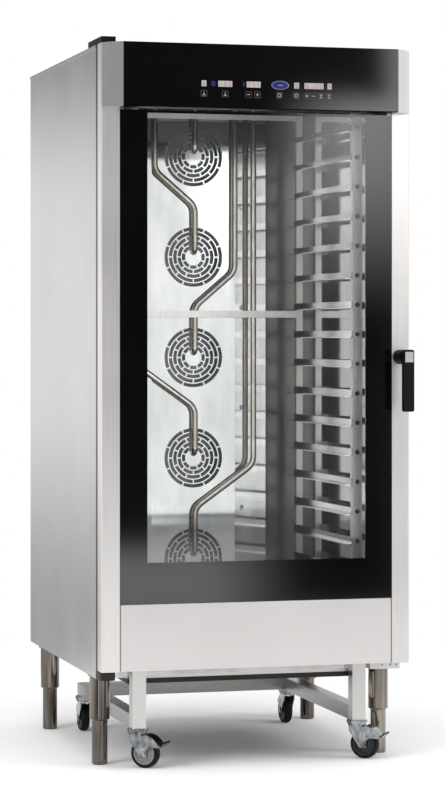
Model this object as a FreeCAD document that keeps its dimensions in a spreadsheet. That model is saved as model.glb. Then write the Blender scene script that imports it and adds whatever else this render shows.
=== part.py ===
"""Convection oven with its tray trolley docked inside, one object for each physical piece.

Millimetres, +Z up, the floor at Z 0. X runs to the right of someone who faces the door, Y runs from
the door to the back, and the origin is the middle of the footprint on the floor.
"""
import FreeCAD, Part
import math
import os
import re

import Sketcher

Vector = FreeCAD.Vector

# Driving sizes, each written once. Every other length is worked out from them.
SIZES = {
    # Cabinet
    "wall_space": 88,
    "motor_space": 136,
    "skin": 1.5,
    "lip_height": 8,
    "cheek_width": 63,
    "header_overlap": 9,
    "rear_return": 20,
    "rear_reach": 46,
    "vent_width": 60,
    "vent_height": 5,
    "vent_pitch": 16,
    "vent_count": 10,
    "vent_spread": 150,
    # Legs
    "leg_height": 245,
    "sleeve_length": 124,
    "sleeve_radius": 27.5,
    "sleeve_chamfer": 4,
    "sleeve_flange_radius": 33,
    "sleeve_flange_thickness": 3,
    "foot_radius": 21.5,
    "foot_insertion": 70,
    "foot_clearance": 0.08,
    "foot_chamfer": 3,
    "leg_inset_side": 33,
    "leg_inset_front": 95,
    "leg_inset_rear": 140,
    # Cavity
    "floor_rise": 45,
    "ceiling_drop": 100,
    "flange_width": 33,
    "dock_gap": 0.5,
    "base_pan_drop": 23,
    "base_pan_inset": 12,
    "slab_front": 40,
    "slab_height": 60,
    "slab_tail": 60,
    "gasket_width": 18,
    "gasket_inset": 3,
    "gasket_clearance": 0.3,
    # Door
    "door_thickness": 67,
    "door_gap": 8,
    "door_lift": 25,
    "door_top_gap": 1,
    "stile_width": 50,
    "stile_lip": 12,
    "stile_cap": 10,
    "stile_round": 3,
    "door_play": 0.5,
    "lower_panel_height": 179,
    "panel_play": 1,
    "back_frame_depth": 30,
    "glass_thickness": 6,
    "inner_glass_thickness": 5,
    "window_inset": 50,
    "window_bottom_inset": 85,
    "window_top_rise": 15,
    "inner_glass_overlap": 12,
    # Control fascia
    "fascia_height": 172,
    "fascia_reach": 52,
    "fascia_gap": 5,
    "fascia_glass_thickness": 4,
    "fascia_glass_inset": 49,
    "fascia_glass_border": 2,
    "board_rise": 30,
    "fascia_bulge": 4,
    "board_width": 380,
    "board_height": 70,
    "board_thickness": 1.6,
    # Door hinge
    "hinge_inset": 22,
    "hinge_setback": 27,
    "pin_radius": 6,
    "pin_reach": 14,
    "running_clearance": 0.05,
    "top_bracket_thickness": 6,
    "top_bracket_radius": 14,
    "top_bracket_tail": 80,
    "cap_width": 39,
    "cap_height": 16,
    "cap_tail": 90,
    "cap_wall": 2,
    "bottom_bracket_radius": 21,
    "bottom_bracket_height": 20,
    "bottom_bracket_gap": 3,
    # Handle and latch
    "handle_reach": 82,
    "handle_inset": 28,
    "handle_rise": 840,
    "grip_width": 32,
    "grip_depth": 22,
    "grip_above": 20,
    "grip_below": 149,
    "grip_round": 6,
    "boss_radius": 20,
    "boss_gap": 1,
    "spindle_seat": 20,
    "insert_width": 23,
    "insert_height": 28,
    "insert_sink": 1.2,
    "spindle_radius": 7,
    "hook_reach": 18,
    "hook_width": 12,
    "hook_thickness": 6,
    "latch_depth": 22,
    "keeper_radius": 22,
    "keeper_wall": 2,
    "keeper_depth": 30,
    # Fans behind the baffle
    "fan_count": 5,
    "fan_pitch": 297,
    "fan_top_drop": 152,
    "baffle_setback": 160,
    "baffle_thickness": 2,
    "baffle_gap": 22,
    "baffle_flat_width": 254,
    "baffle_width": 456,
    "baffle_sweep": 20,
    "baffle_end_gap": 22,
    "guard_first_radius": 30,
    "guard_ring_pitch": 13.25,
    "guard_ring_count": 5,
    "guard_slot_width": 10,
    "guard_bridge": 4,
    "guard_bridges": 8,
    "stud_spacing": 296,
    "stud_radius": 5,
    "fan_radius": 100,
    "fan_width": 66,
    "fan_gap": 26,
    "fan_sheet": 2,
    "fan_blades": 10,
    "fan_hub_length": 34,
    "fan_ring_width": 14,
    "blade_length": 44,
    "fan_hub_radius": 18,
    "fan_hub_face": 4,
    "shaft_radius": 7,
    "shaft_hole_clearance": 4,
    "shaft_engagement": 60,
    "motor_radius": 62,
    "motor_length": 100,
    "motor_flange_radius": 76,
    "motor_flange_thickness": 6,
    "heater_radius": 122,
    "heater_tube": 9,
    "heater_setback": 70,
    # Water injector pipes
    "pipe_radius": 9,
    "pipe_gap": 8,
    "pipe_step": 150,
    "pipe_near_drop": 104,
    "pipe_far_drop": 127,
    "pipe_bend": 45,
    "pipe_tip_bend": 18,
    "pipe_tip_reach": 6,
    "pipe_rise": 14,
    "pipe_above_ceiling": 30,
    "pipe_clearance": 0.3,
    "pipe_near_offset": 122,
    "pipe_far_offset": 179,
    # Trolley
    "tube_size": 38,
    "tube_wall": 2,
    "post_inset": 3,
    "frame_tail": 112,
    "rack_side_gap": 11,
    "rack_top_margin": 74,
    "rack_top_gap": 20,
    "post_gap": 6,
    "deck_thickness": 10,
    "deck_clearance": 2,
    "deck_overhang": 8,
    "rack_depth": 555,
    "front_upright_width": 28,
    "rear_upright_width": 19,
    "upright_depth": 20,
    "upright_gap": 2,
    "tray_width": 600,
    "tray_play": 4,
    "runner_count": 16,
    "runner_pitch": 82,
    "runner_first_rise": 204,
    "runner_web": 20,
    "runner_ledge": 20,
    "runner_sheet": 2,
    "crossbar_height": 20,
    "crossbar_thickness": 5,
    "middle_bar_level": 9,
    "middle_bar_gap": 2,
    "top_bar_drop": 3,
    # Casters
    "caster_height": 105,
    "caster_trail": 24,
    "wheel_radius": 40,
    "wheel_width": 25,
    "tyre_depth": 8,
    "wheel_side_gap": 1.5,
    "axle_radius": 4,
    "axle_head": 7,
    "axle_proud": 2,
    "head_radius": 28.5,
    "head_thickness": 7,
    "swivel_gap": 0.5,
    "kingpin_radius": 6,
    "nut_radius": 10,
    "nut_height": 4,
    "fork_radius": 25,
    "fork_top": 7,
    "fork_plate": 3,
    "fork_half": 18,
    "fork_waist": 14,
    "fork_eye": 10,
    "fork_step": 4,
    "fork_knee": 18,
    "fork_knee_height": 34,
    "fork_toe": 26,
    "fork_toe_height": 22,
    "caster_turn": 40,
    "pedal_arm": 3,
    "pedal_tongue": 22,
    "pedal_start": 43,
    "pedal_thickness": 4,
    "pedal_dip": 22,
    "pedal_lift": 9,
    "pedal_heel": 8,
    "pedal_arch_gap": 8,
    "pedal_arch_start": 4,
    "pedal_shoulder": 35,
    "pedal_pin_radius": 4,
    "pedal_play": 0.5,
    "pedal_pin_back": 6,
    "pedal_pin_height": 66,
    "pedal_arm_half": 8,
    # Stubs on the top and the back
    "chimney_radius": 30,
    "chimney_wall": 2,
    "chimney_rise": 30,
    "chimney_side": 210,
    "chimney_inset": 40,
    "stub_clearance": 0.3,
    "inlet_radius": 13,
    "inlet_wall": 3,
    "inlet_side": 300,
    "inlet_height": 420,
    "drain_radius": 25,
    "drain_wall": 2,
    "drain_side": 0,
    "drain_height": 290,
    "gland_radius": 14,
    "gland_bore": 7,
    "gland_reach": 30,
    "gland_side": 300,
    "gland_height": 360,
    "collar_growth": 6,
    "collar_thickness": 5,
}

# Places worked out from the sizes, measured in the shared frame.
PLACES = {
    # Across: the tray sets the rack, the rack the cavity, and the cavity the cabinet.
    "web_half": "tray_width / 2 + tray_play",
    "upright_half": "web_half + runner_sheet",
    "deck_half": "upright_half + front_upright_width",
    "post_x": "deck_half - post_inset - tube_size / 2",
    "cav_half": "deck_half + rack_side_gap",
    "wall_half": "cav_half + skin",
    "half": "cav_half + wall_space",
    "panel_half": "half - skin",
    "panel_inside": "panel_half - skin",
    "leg_x": "half - leg_inset_side",
    # Front to back
    "overall_depth": "handle_reach + door_thickness + post_gap + tube_size + upright_gap + rack_depth"
                     " + baffle_gap + baffle_setback + motor_space + rear_reach",
    "door_front": "handle_reach - overall_depth / 2",
    "door_back": "door_front + door_thickness",
    "cab_front": "door_back + door_gap",
    "flange_front": "cab_front + skin",
    "flange_back": "cab_front + 2 * skin",
    "post_front": "door_back + post_gap",
    "post_y": "post_front + tube_size / 2",
    "post_back": "post_front + tube_size",
    "sill_front": "post_back + dock_gap",
    "rack_front": "post_back + upright_gap",
    "rack_rear": "rack_front + rack_depth",
    "frame_back": "rack_rear + frame_tail",
    "rear_caster_y": "frame_back - tube_size / 2",
    "baffle_front": "rack_rear + baffle_gap",
    "pipe_y": "baffle_front - pipe_gap - pipe_radius",
    "fan_front": "baffle_front + baffle_thickness + fan_gap",
    "cav_rear": "baffle_front + baffle_setback",
    "motor_front": "cav_rear + skin",
    "cab_rear": "cav_rear + motor_space",
    "leg_front": "cab_front + leg_inset_front",
    "leg_rear": "cab_rear - leg_inset_rear",
    "chimney_y": "cav_rear - chimney_inset",
    "chimney_tube": "chimney_radius - chimney_wall",
    # Upwards: the runners set the rack, the rack the cavity, and the cavity the cabinet.
    "sleeve_bottom": "leg_height - sleeve_length",
    "base_top": "leg_height + 2 * skin",
    "cav_floor": "leg_height + floor_rise",
    "deck_top": "cav_floor + deck_clearance + deck_thickness",
    "runner_first": "deck_top + runner_first_rise",
    "runner_last": "runner_first + (runner_count - 1) * runner_pitch",
    "rack_top": "runner_last + runner_web + rack_top_margin",
    "cav_top": "rack_top + rack_top_gap",
    "cab_top": "cav_top + ceiling_drop",
    "fan_top": "cav_top - fan_top_drop",
    "baffle_bottom": "cav_floor + baffle_end_gap",
    "baffle_top": "cav_top - baffle_end_gap",
    # Door
    "door_bottom": "leg_height + door_lift",
    "door_top": "cab_top - door_top_gap",
    "door_half": "half - stile_width - door_play",
    "glass_bottom": "door_bottom + lower_panel_height",
    "fascia_bottom": "door_top - fascia_height",
    "glass_top": "fascia_bottom - fascia_gap",
    "window_half": "door_half - window_inset",
    "window_bottom": "glass_bottom + window_bottom_inset",
    "window_top": "glass_top + window_top_rise",
    "fascia_front": "door_front - fascia_reach + fascia_glass_thickness",
    "fascia_half": "half - fascia_glass_inset",
    "hinge_x": "hinge_inset - half",
    "hinge_y": "door_front + hinge_setback",
    "handle_x": "half - handle_inset",
    "handle_z": "door_bottom + handle_rise",
    "grip_front": "door_front - handle_reach",
    "grip_back": "grip_front + grip_depth",
    "boss_back": "door_front - boss_gap",
    "bore_radius": "pin_radius + running_clearance",
    # Casters, measured from the kingpin's axis
    "fork_inside": "wheel_width / 2 + wheel_side_gap",
    "fork_outside": "fork_inside + fork_plate",
    "head_bottom": "caster_height - head_thickness",
    "fork_crown": "head_bottom - swivel_gap",
    "fork_neck": "fork_crown - fork_top",
    "nut_top": "fork_neck - swivel_gap",
    "pedal_pin_x": "caster_trail - pedal_pin_back",
    "pedal_inside": "fork_outside + pedal_play",
    "pedal_outside": "pedal_inside + pedal_arm",
    "pedal_tip_start": "caster_trail + pedal_start",
    "pedal_root": "wheel_radius + pedal_dip",
    "pedal_arch": "wheel_radius + pedal_arch_gap",
}

# Connections on the back: name, radius, bore, reach behind the cabinet, distance across and height.
STUBS = (
    ("water_inlet", "inlet_radius", "inlet_radius - inlet_wall", "rear_reach", "inlet_side", "inlet_height"),
    ("drain_outlet", "drain_radius", "drain_radius - drain_wall", "rear_reach", "drain_side", "drain_height"),
    ("cable_gland", "gland_radius", "gland_bore", "gland_reach", "gland_side", "gland_height"),
)

PLANES = {"xy": ("XY_Plane", "z", False), "xz": ("XZ_Plane", "y", True), "yz": ("YZ_Plane", "x", False)}
ALONG = {
    "x": FreeCAD.Rotation(Vector(0, 0, 1), Vector(1, 0, 0)),
    "y": FreeCAD.Rotation(Vector(0, 0, 1), Vector(0, 1, 0)),
    "z": FreeCAD.Rotation(),
}

document = FreeCAD.newDocument("convection_oven")
sheet = document.addObject("Spreadsheet::Sheet", "Sizes")
nodes = {}


def fill_sheet():
    """Write every driving size into the sheet, under its own name."""
    for row, (name, value) in enumerate(SIZES.items(), start=1):
        sheet.set(f"A{row}", name)
        sheet.set(f"B{row}", str(value))
        sheet.setAlias(f"B{row}", name)
    document.recompute()


def sized(text):
    """Turn the words of a text into references to the sheet."""
    def reference(match):
        word = match.group()
        if word in PLACES:
            return "(" + sized(PLACES[word]) + ")"
        return "Sizes." + word if word in SIZES else word
    return re.sub(r"[a-z][a-z_]*", reference, text)


def number(text):
    """The present value of a text, for shapes that are drawn point by point."""
    plain = re.sub(r"Sizes\.([a-z_]+)", lambda match: str(sheet.get(match.group(1))), sized(text))
    return FreeCAD.Units.Quantity(plain).Value


def bind(thing, prop, text):
    """Tie one property of an object to the sheet."""
    thing.setExpression(prop, sized(text))


def place(thing, x="0", y="0", z="0"):
    """Tie an object's position to the sheet."""
    for axis, text in zip("xyz", (x, y, z)):
        bind(thing, ".Placement.Base." + axis, text)
    return thing


def node(name, thing):
    """Name a finished piece, which also names its file."""
    thing.Label = name
    nodes[name] = thing
    return thing


def box(x, y, z):
    """A block between the low and the high end of each axis."""
    thing = document.addObject("Part::Box", "block")
    for prop, (low, high) in zip(("Length", "Width", "Height"), (x, y, z)):
        bind(thing, prop, f"({high}) - ({low})")
    return place(thing, x[0], y[0], z[0])


def rod(axis, radius, low, high, centre):
    """A round bar along one axis, with its centre given on the other two."""
    thing = document.addObject("Part::Cylinder", "bar")
    thing.Placement = FreeCAD.Placement(Vector(), ALONG[axis])
    bind(thing, "Radius", radius)
    bind(thing, "Height", f"({high}) - ({low})")
    position = list(centre)
    position.insert("xyz".index(axis), low)
    return place(thing, *position)


def fuse(*things):
    """Several shapes made into one piece."""
    thing = document.addObject("Part::MultiFuse", "joined")
    thing.Shapes = list(things)
    return thing


def cut(base, *tools):
    """A piece with other shapes taken out of it."""
    thing = document.addObject("Part::Cut", "trimmed")
    thing.Base = base
    thing.Tool = tools[0] if len(tools) == 1 else fuse(*tools)
    return thing


def group(*things):
    """Separate solids that share a node."""
    thing = document.addObject("Part::Compound", "set")
    thing.Links = list(things)
    return thing


def hollow(x, y, z, open_axis, wall):
    """A block emptied from end to end along one axis, as a tube is."""
    inner = []
    for axis, (low, high) in zip("xyz", (x, y, z)):
        grow = "1" if axis == open_axis else f"-({wall})"
        inner.append((f"({low}) - ({grow})", f"({high}) + ({grow})"))
    return cut(box(x, y, z), box(*inner))


def origin_part(body, role):
    """One of a body's own origin planes or axes."""
    return next(part for part in body.Origin.OriginFeatures if part.Role == role)


def outline(body, plane, corners):
    """A closed sketch on one of the body's own planes, with every corner tied to the sheet."""
    sketch = body.newObject("Sketcher::SketchObject", "outline")
    sketch.AttachmentSupport = [(origin_part(body, PLANES[plane][0]), "")]
    sketch.MapMode = "FlatFace"
    points = [Vector(number(across), number(up), 0) for across, up in corners]
    count = len(points)
    for index, point in enumerate(points):
        sketch.addGeometry(Part.LineSegment(point, points[(index + 1) % count]), False)
    for index, (across, up) in enumerate(corners):
        sketch.addConstraint(Sketcher.Constraint("Coincident", index, 1, (index - 1) % count, 2))
        for kind, text, value in (
            ("DistanceX", across, points[index].x),
            ("DistanceY", up, points[index].y),
        ):
            rule = sketch.addConstraint(Sketcher.Constraint(kind, -1, 1, index, 1, value))
            sketch.setExpression(f"Constraints[{rule}]", sized(text))
    return sketch


def prism(plane, corners, low, high):
    """A body padded from an outline, between two levels of the plane's normal."""
    body = document.addObject("PartDesign::Body", "prism")
    sketch = outline(body, plane, corners)
    pad = body.newObject("PartDesign::Pad", "pad")
    pad.Profile = sketch
    pad.Reversed = PLANES[plane][2]
    bind(pad, "Length", f"({high}) - ({low})")
    body.Tip = pad
    bind(body, ".Placement.Base." + PLANES[plane][1], low)
    return body


def turned(corners, axis="z", at=("0", "0", "0")):
    """A body turned about its own axis from corners of radius and height."""
    body = document.addObject("PartDesign::Body", "turning")
    sketch = outline(body, "xz", corners)
    turn = body.newObject("PartDesign::Revolution", "turn")
    turn.Profile = sketch
    turn.ReferenceAxis = (sketch, ["V_Axis"])
    turn.Angle = 360
    body.Tip = turn
    body.Placement = FreeCAD.Placement(Vector(), ALONG[axis])
    return place(body, *at)


def rounded(thing, radius, wanted):
    """Round the edges of a shape that a test picks out."""
    document.recompute()
    edges = [index for index, edge in enumerate(thing.Shape.Edges, start=1) if wanted(edge)]
    fillet = document.addObject("Part::Fillet", "rounded")
    fillet.Base = thing
    fillet.Edges = [(index, number(radius), number(radius)) for index in edges]
    return fillet


def flipped(corners):
    """The same outline on the other side of the middle plane."""
    return [(f"-({across})", along) for across, along in corners]


def fan_z(index):
    """The height of a fan's axis, counted from the top one."""
    return f"fan_top - {index} * fan_pitch"


def build_cabinet():
    """Folded outer panels, a base pan with a sunk middle, and insulation round the cavity."""
    side = [
        ("panel_half", "cab_front"),
        ("panel_half", "cab_rear - skin"),
        ("panel_half - rear_return", "cab_rear - skin"),
        ("panel_half - rear_return", "cab_rear - 2 * skin"),
        ("panel_inside", "cab_rear - 2 * skin"),
        ("panel_inside", "flange_front"),
        ("half - cheek_width", "flange_front"),
        ("half - cheek_width", "cab_front"),
    ]
    left, right = (prism("xy", corners, "leg_height", "cab_top - skin") for corners in (flipped(side), side))
    keyhole = rod("y", "keeper_radius", "cab_front - 1", "flange_front + 1", ("handle_x", "handle_z"))
    node("side_panels", group(left, cut(right, keyhole)))

    node("top_panel", cut(
        box(("-half", "half"), ("cab_front", "cab_rear"), ("cab_top - lip_height", "cab_top")),
        box(("-panel_half", "panel_half"), ("cab_front - 1", "cab_rear - skin"),
            ("cab_top - lip_height - 1", "cab_top - skin")),
        rod("z", "chimney_tube + stub_clearance", "cab_top - lip_height", "cab_top + 1",
            ("chimney_side", "chimney_y")),
    ))
    node("front_header", prism("yz", [
        ("cab_front", "cav_top + flange_width - header_overlap"),
        ("cab_front", "cab_top - skin"),
        ("cab_front + rear_return", "cab_top - skin"),
        ("cab_front + rear_return", "cab_top - 2 * skin"),
        ("flange_front", "cab_top - 2 * skin"),
        ("flange_front", "cav_top + flange_width - header_overlap"),
    ], "cheek_width - half", "half - cheek_width"))
    build_rear_panel()

    plate = prism("xy", [
        ("-panel_inside", "flange_front"),
        ("-wall_half", "flange_front"),
        ("-wall_half", "sill_front + skin"),
        ("wall_half", "sill_front + skin"),
        ("wall_half", "flange_front"),
        ("panel_inside", "flange_front"),
        ("panel_inside", "cab_rear - 2 * skin"),
        ("-panel_inside", "cab_rear - 2 * skin"),
    ], "leg_height", "base_top")
    pan_half = "cav_half - base_pan_inset"
    pan_front = "sill_front + base_pan_inset"
    sunk = box((f"-({pan_half})", pan_half), (pan_front, "cav_rear"),
               ("leg_height - base_pan_drop", "base_top"))
    space = box((f"skin - ({pan_half})", f"{pan_half} - skin"), (f"{pan_front} + skin", "cav_rear - skin"),
                ("leg_height - base_pan_drop + skin", "base_top + 1"))
    node("base_pan", cut(fuse(plate, sunk), space))

    slab_y = ("cab_front + slab_front", "cav_rear")
    slab_z = ("base_top", "cav_top + skin")
    node("insulation", group(
        box(("wall_half", "panel_inside"), slab_y, slab_z),
        box(("-panel_inside", "-wall_half"), slab_y, slab_z),
        box(("-wall_half", "wall_half"), (slab_y[0], "pipe_y - slab_tail"),
            ("cav_top + skin", "cav_top + skin + slab_height")),
    ))


def build_rear_panel():
    """A flat back with two columns of vent slots."""
    body = prism("xz", [
        ("-panel_half", "leg_height"),
        ("panel_half", "leg_height"),
        ("panel_half", "cab_top - lip_height"),
        ("-panel_half", "cab_top - lip_height"),
    ], "cab_rear - skin", "cab_rear")
    for side in ("-1", "1"):
        middle = f"{side} * vent_spread"
        slot = outline(body, "xz", [
            (f"{middle} - vent_width / 2", "cav_top - vent_height"),
            (f"{middle} + vent_width / 2", "cav_top - vent_height"),
            (f"{middle} + vent_width / 2", "cav_top"),
            (f"{middle} - vent_width / 2", "cav_top"),
        ])
        pocket = body.newObject("PartDesign::Pocket", "vent")
        pocket.Profile = slot
        pocket.Type = "ThroughAll"
        column = body.newObject("PartDesign::LinearPattern", "vent_column")
        column.Originals = [pocket]
        column.Direction = (slot, ["V_Axis"])
        column.Reversed = True
        bind(column, "Length", "(vent_count - 1) * vent_pitch")
        bind(column, "Occurrences", "vent_count")
        body.Tip = column
    ways = [rod("y", bore, "cab_rear - 2 * skin", "cab_rear + 1", (x, z))
            for name, radius, bore, reach, x, z in STUBS]
    node("rear_panel", cut(body, *ways))


def build_legs():
    """Four sleeves under the cabinet, each with a levelling foot that screws out of it."""
    bore = "foot_radius + foot_clearance"
    sleeve = [
        (bore, "sleeve_bottom"),
        ("sleeve_radius - sleeve_chamfer", "sleeve_bottom"),
        ("sleeve_radius", "sleeve_bottom + sleeve_chamfer"),
        ("sleeve_radius", "leg_height - sleeve_flange_thickness"),
        ("sleeve_flange_radius", "leg_height - sleeve_flange_thickness"),
        ("sleeve_flange_radius", "leg_height"),
        (bore, "leg_height"),
    ]
    foot = [
        ("0", "0"),
        ("foot_radius - foot_chamfer", "0"),
        ("foot_radius", "foot_chamfer"),
        ("foot_radius", "sleeve_bottom + foot_insertion"),
        ("0", "sleeve_bottom + foot_insertion"),
    ]
    sleeves = []
    for row, y in (("front", "leg_front"), ("rear", "leg_rear")):
        for side, x in (("left", "-leg_x"), ("right", "leg_x")):
            sleeves.append(turned(sleeve, at=(x, y, "0")))
            node(f"foot_{row}_{side}", turned(foot, at=(x, y, "0")))
    node("leg_sleeves", group(*sleeves))


def build_cavity():
    """The stainless liner: two walls, a ceiling and a floor with its sill, then the rear wall."""
    wall = [
        ("cav_half", "flange_front"),
        ("cav_half + flange_width", "flange_front"),
        ("cav_half + flange_width", "flange_back"),
        ("wall_half", "flange_back"),
        ("wall_half", "cav_rear"),
        ("cav_half", "cav_rear"),
    ]
    walls = [prism("xy", corners, "base_top", "cav_top + skin") for corners in (wall, flipped(wall))]
    ceiling = prism("yz", [
        ("flange_front", "cav_top"),
        ("cav_rear", "cav_top"),
        ("cav_rear", "cav_top + skin"),
        ("flange_back", "cav_top + skin"),
        ("flange_back", "cav_top + flange_width"),
        ("flange_front", "cav_top + flange_width"),
    ], "-cav_half", "cav_half")
    outlets = [rod("z", "pipe_radius + pipe_clearance", "cav_top - 1", "cav_top + skin + 1", (x, "pipe_y"))
               for x in pipe_columns()]
    outlets.append(rod("z", "chimney_tube - chimney_wall", "cav_top - 1", "cav_top + skin + 1",
                       ("chimney_side", "chimney_y")))
    floor = prism("yz", [
        ("sill_front", "leg_height"),
        ("sill_front", "cav_floor"),
        ("cav_rear", "cav_floor"),
        ("cav_rear", "cav_floor - skin"),
        ("sill_front + skin", "cav_floor - skin"),
        ("sill_front + skin", "leg_height"),
    ], "-cav_half", "cav_half")
    node("cavity_liner", group(*walls, cut(ceiling, *outlets), floor))

    back = box(("-wall_half", "wall_half"), ("cav_rear", "motor_front"), ("base_top", "cav_top + skin"))
    through = ("cav_rear - 1", "motor_front + 1")
    shafts = [rod("y", "shaft_radius + shaft_hole_clearance", *through, ("0", fan_z(index)))
              for index in fans()]
    node("cavity_rear_wall", cut(back, *shafts))

    gasket_y = ("door_back + gasket_clearance", "flange_front")
    low = "cav_half + gasket_inset"
    high = f"{low} + gasket_width"
    turn = "cav_top + gasket_inset"
    node("door_gasket", group(
        box((low, high), gasket_y, ("cav_floor", turn)),
        box((f"-({high})", f"-({low})"), gasket_y, ("cav_floor", turn)),
        box((f"-({high})", high), gasket_y, (turn, f"{turn} + gasket_width")),
    ))


def fans():
    """The numbers of the fans, from the top one down."""
    return range(int(number("fan_count")))


def pipe_columns():
    """Where each injector pipe comes down from the ceiling, in the order of the fans."""
    return ["0", "-pipe_near_offset", "pipe_near_offset", "-pipe_far_offset", "pipe_far_offset"]


def stud_places():
    """The fixings of the baffle, halfway between the fans."""
    return [(f"{side} * stud_spacing / 2", f"{fan_z(index)} - fan_pitch / 2")
            for index in list(fans())[:-1] for side in ("-1", "1")]


def slot_sketch(body, ring):
    """One arc slot of a guard ring, drawn about the top fan's axis."""
    sketch = body.newObject("Sketcher::SketchObject", "slot")
    sketch.AttachmentSupport = [(origin_part(body, "XZ_Plane"), "")]
    sketch.MapMode = "FlatFace"
    bind(sketch, ".AttachmentOffset.Base.y", "fan_top - baffle_bottom")
    middle = f"guard_first_radius + {ring} * guard_ring_pitch"
    radii = (f"{middle} - guard_slot_width / 2", f"{middle} + guard_slot_width / 2")
    half = f"180 / guard_bridges - guard_bridge / 2 / ({middle}) * 180 / {math.pi}"
    centre = f"{ring % 2} * 180 / guard_bridges"
    turns = (f"{centre} - ({half})", f"{centre} + ({half})")
    start, end = (math.radians(number(turn)) for turn in turns)
    for radius in radii:
        circle = Part.Circle(Vector(), Vector(0, 0, 1), number(radius))
        sketch.addGeometry(Part.ArcOfCircle(circle, start, end), False)
    for turn in (start, end):
        ray = Vector(math.cos(turn), math.sin(turn), 0)
        sketch.addGeometry(Part.LineSegment(ray * number(radii[0]), ray * number(radii[1])), False)
    for line, arc_end in ((2, 1), (3, 2)):
        sketch.addConstraint(Sketcher.Constraint("Coincident", line, 1, 0, arc_end))
        sketch.addConstraint(Sketcher.Constraint("Coincident", line, 2, 1, arc_end))
        sketch.addConstraint(Sketcher.Constraint("PointOnObject", -1, 1, line))
    for arc, radius in enumerate(radii):
        sketch.addConstraint(Sketcher.Constraint("Coincident", arc, 3, -1, 1))
        rule = sketch.addConstraint(Sketcher.Constraint("Radius", arc, number(radius)))
        sketch.setExpression(f"Constraints[{rule}]", sized(radius))
    for line, turn, value in ((2, turns[0], start), (3, turns[1], end)):
        rule = sketch.addConstraint(Sketcher.Constraint("Angle", line, value))
        sketch.setExpression(f"Constraints[{rule}]", f"({sized(turn)}) * 1 deg")
    return sketch


def build_baffle():
    """A polished sheet with swept wings and a guard of slotted rings in front of each fan."""
    front = [
        ("-baffle_width / 2", "baffle_front + baffle_sweep"),
        ("-baffle_flat_width / 2", "baffle_front"),
        ("baffle_flat_width / 2", "baffle_front"),
        ("baffle_width / 2", "baffle_front + baffle_sweep"),
    ]
    back = [(x, f"{y} + baffle_thickness") for x, y in reversed(front)]
    body = prism("xy", front + back, "baffle_bottom", "baffle_top")
    for ring in range(int(number("guard_ring_count"))):
        sketch = slot_sketch(body, ring)
        pocket = body.newObject("PartDesign::Pocket", "ring_slot")
        pocket.Profile = sketch
        pocket.Type = "ThroughAll"
        around = body.newObject("PartDesign::PolarPattern", "around")
        around.Axis = (sketch, ["N_Axis"])
        bind(around, "Occurrences", "guard_bridges")
        down = body.newObject("PartDesign::LinearPattern", "down")
        down.Direction = (sketch, ["V_Axis"])
        down.Reversed = True
        bind(down, "Length", "(fan_count - 1) * fan_pitch")
        bind(down, "Occurrences", "fan_count")
        repeat = body.newObject("PartDesign::MultiTransform", "guard_ring")
        repeat.Originals = [pocket]
        repeat.Transformations = [around, down]
        body.Tip = repeat
    reach = ("baffle_front - 1", "baffle_front + baffle_sweep + baffle_thickness + 1")
    holes = [rod("y", "pipe_radius + pipe_clearance", *reach, ("0", f"{fan_z(index)} + pipe_rise"))
             for index in fans()]
    node("fan_baffle", cut(body, *holes))

    # Each stud ends flush against the slanting back of the wing.
    ahead = [("-baffle_width / 2", "rack_rear"), ("baffle_width / 2", "rack_rear")]
    space = prism("xy", ahead + back, "baffle_bottom", "baffle_top")
    studs = [rod("y", "stud_radius", "baffle_front", "cav_rear", spot) for spot in stud_places()]
    node("baffle_studs", cut(group(*studs), space))


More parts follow.
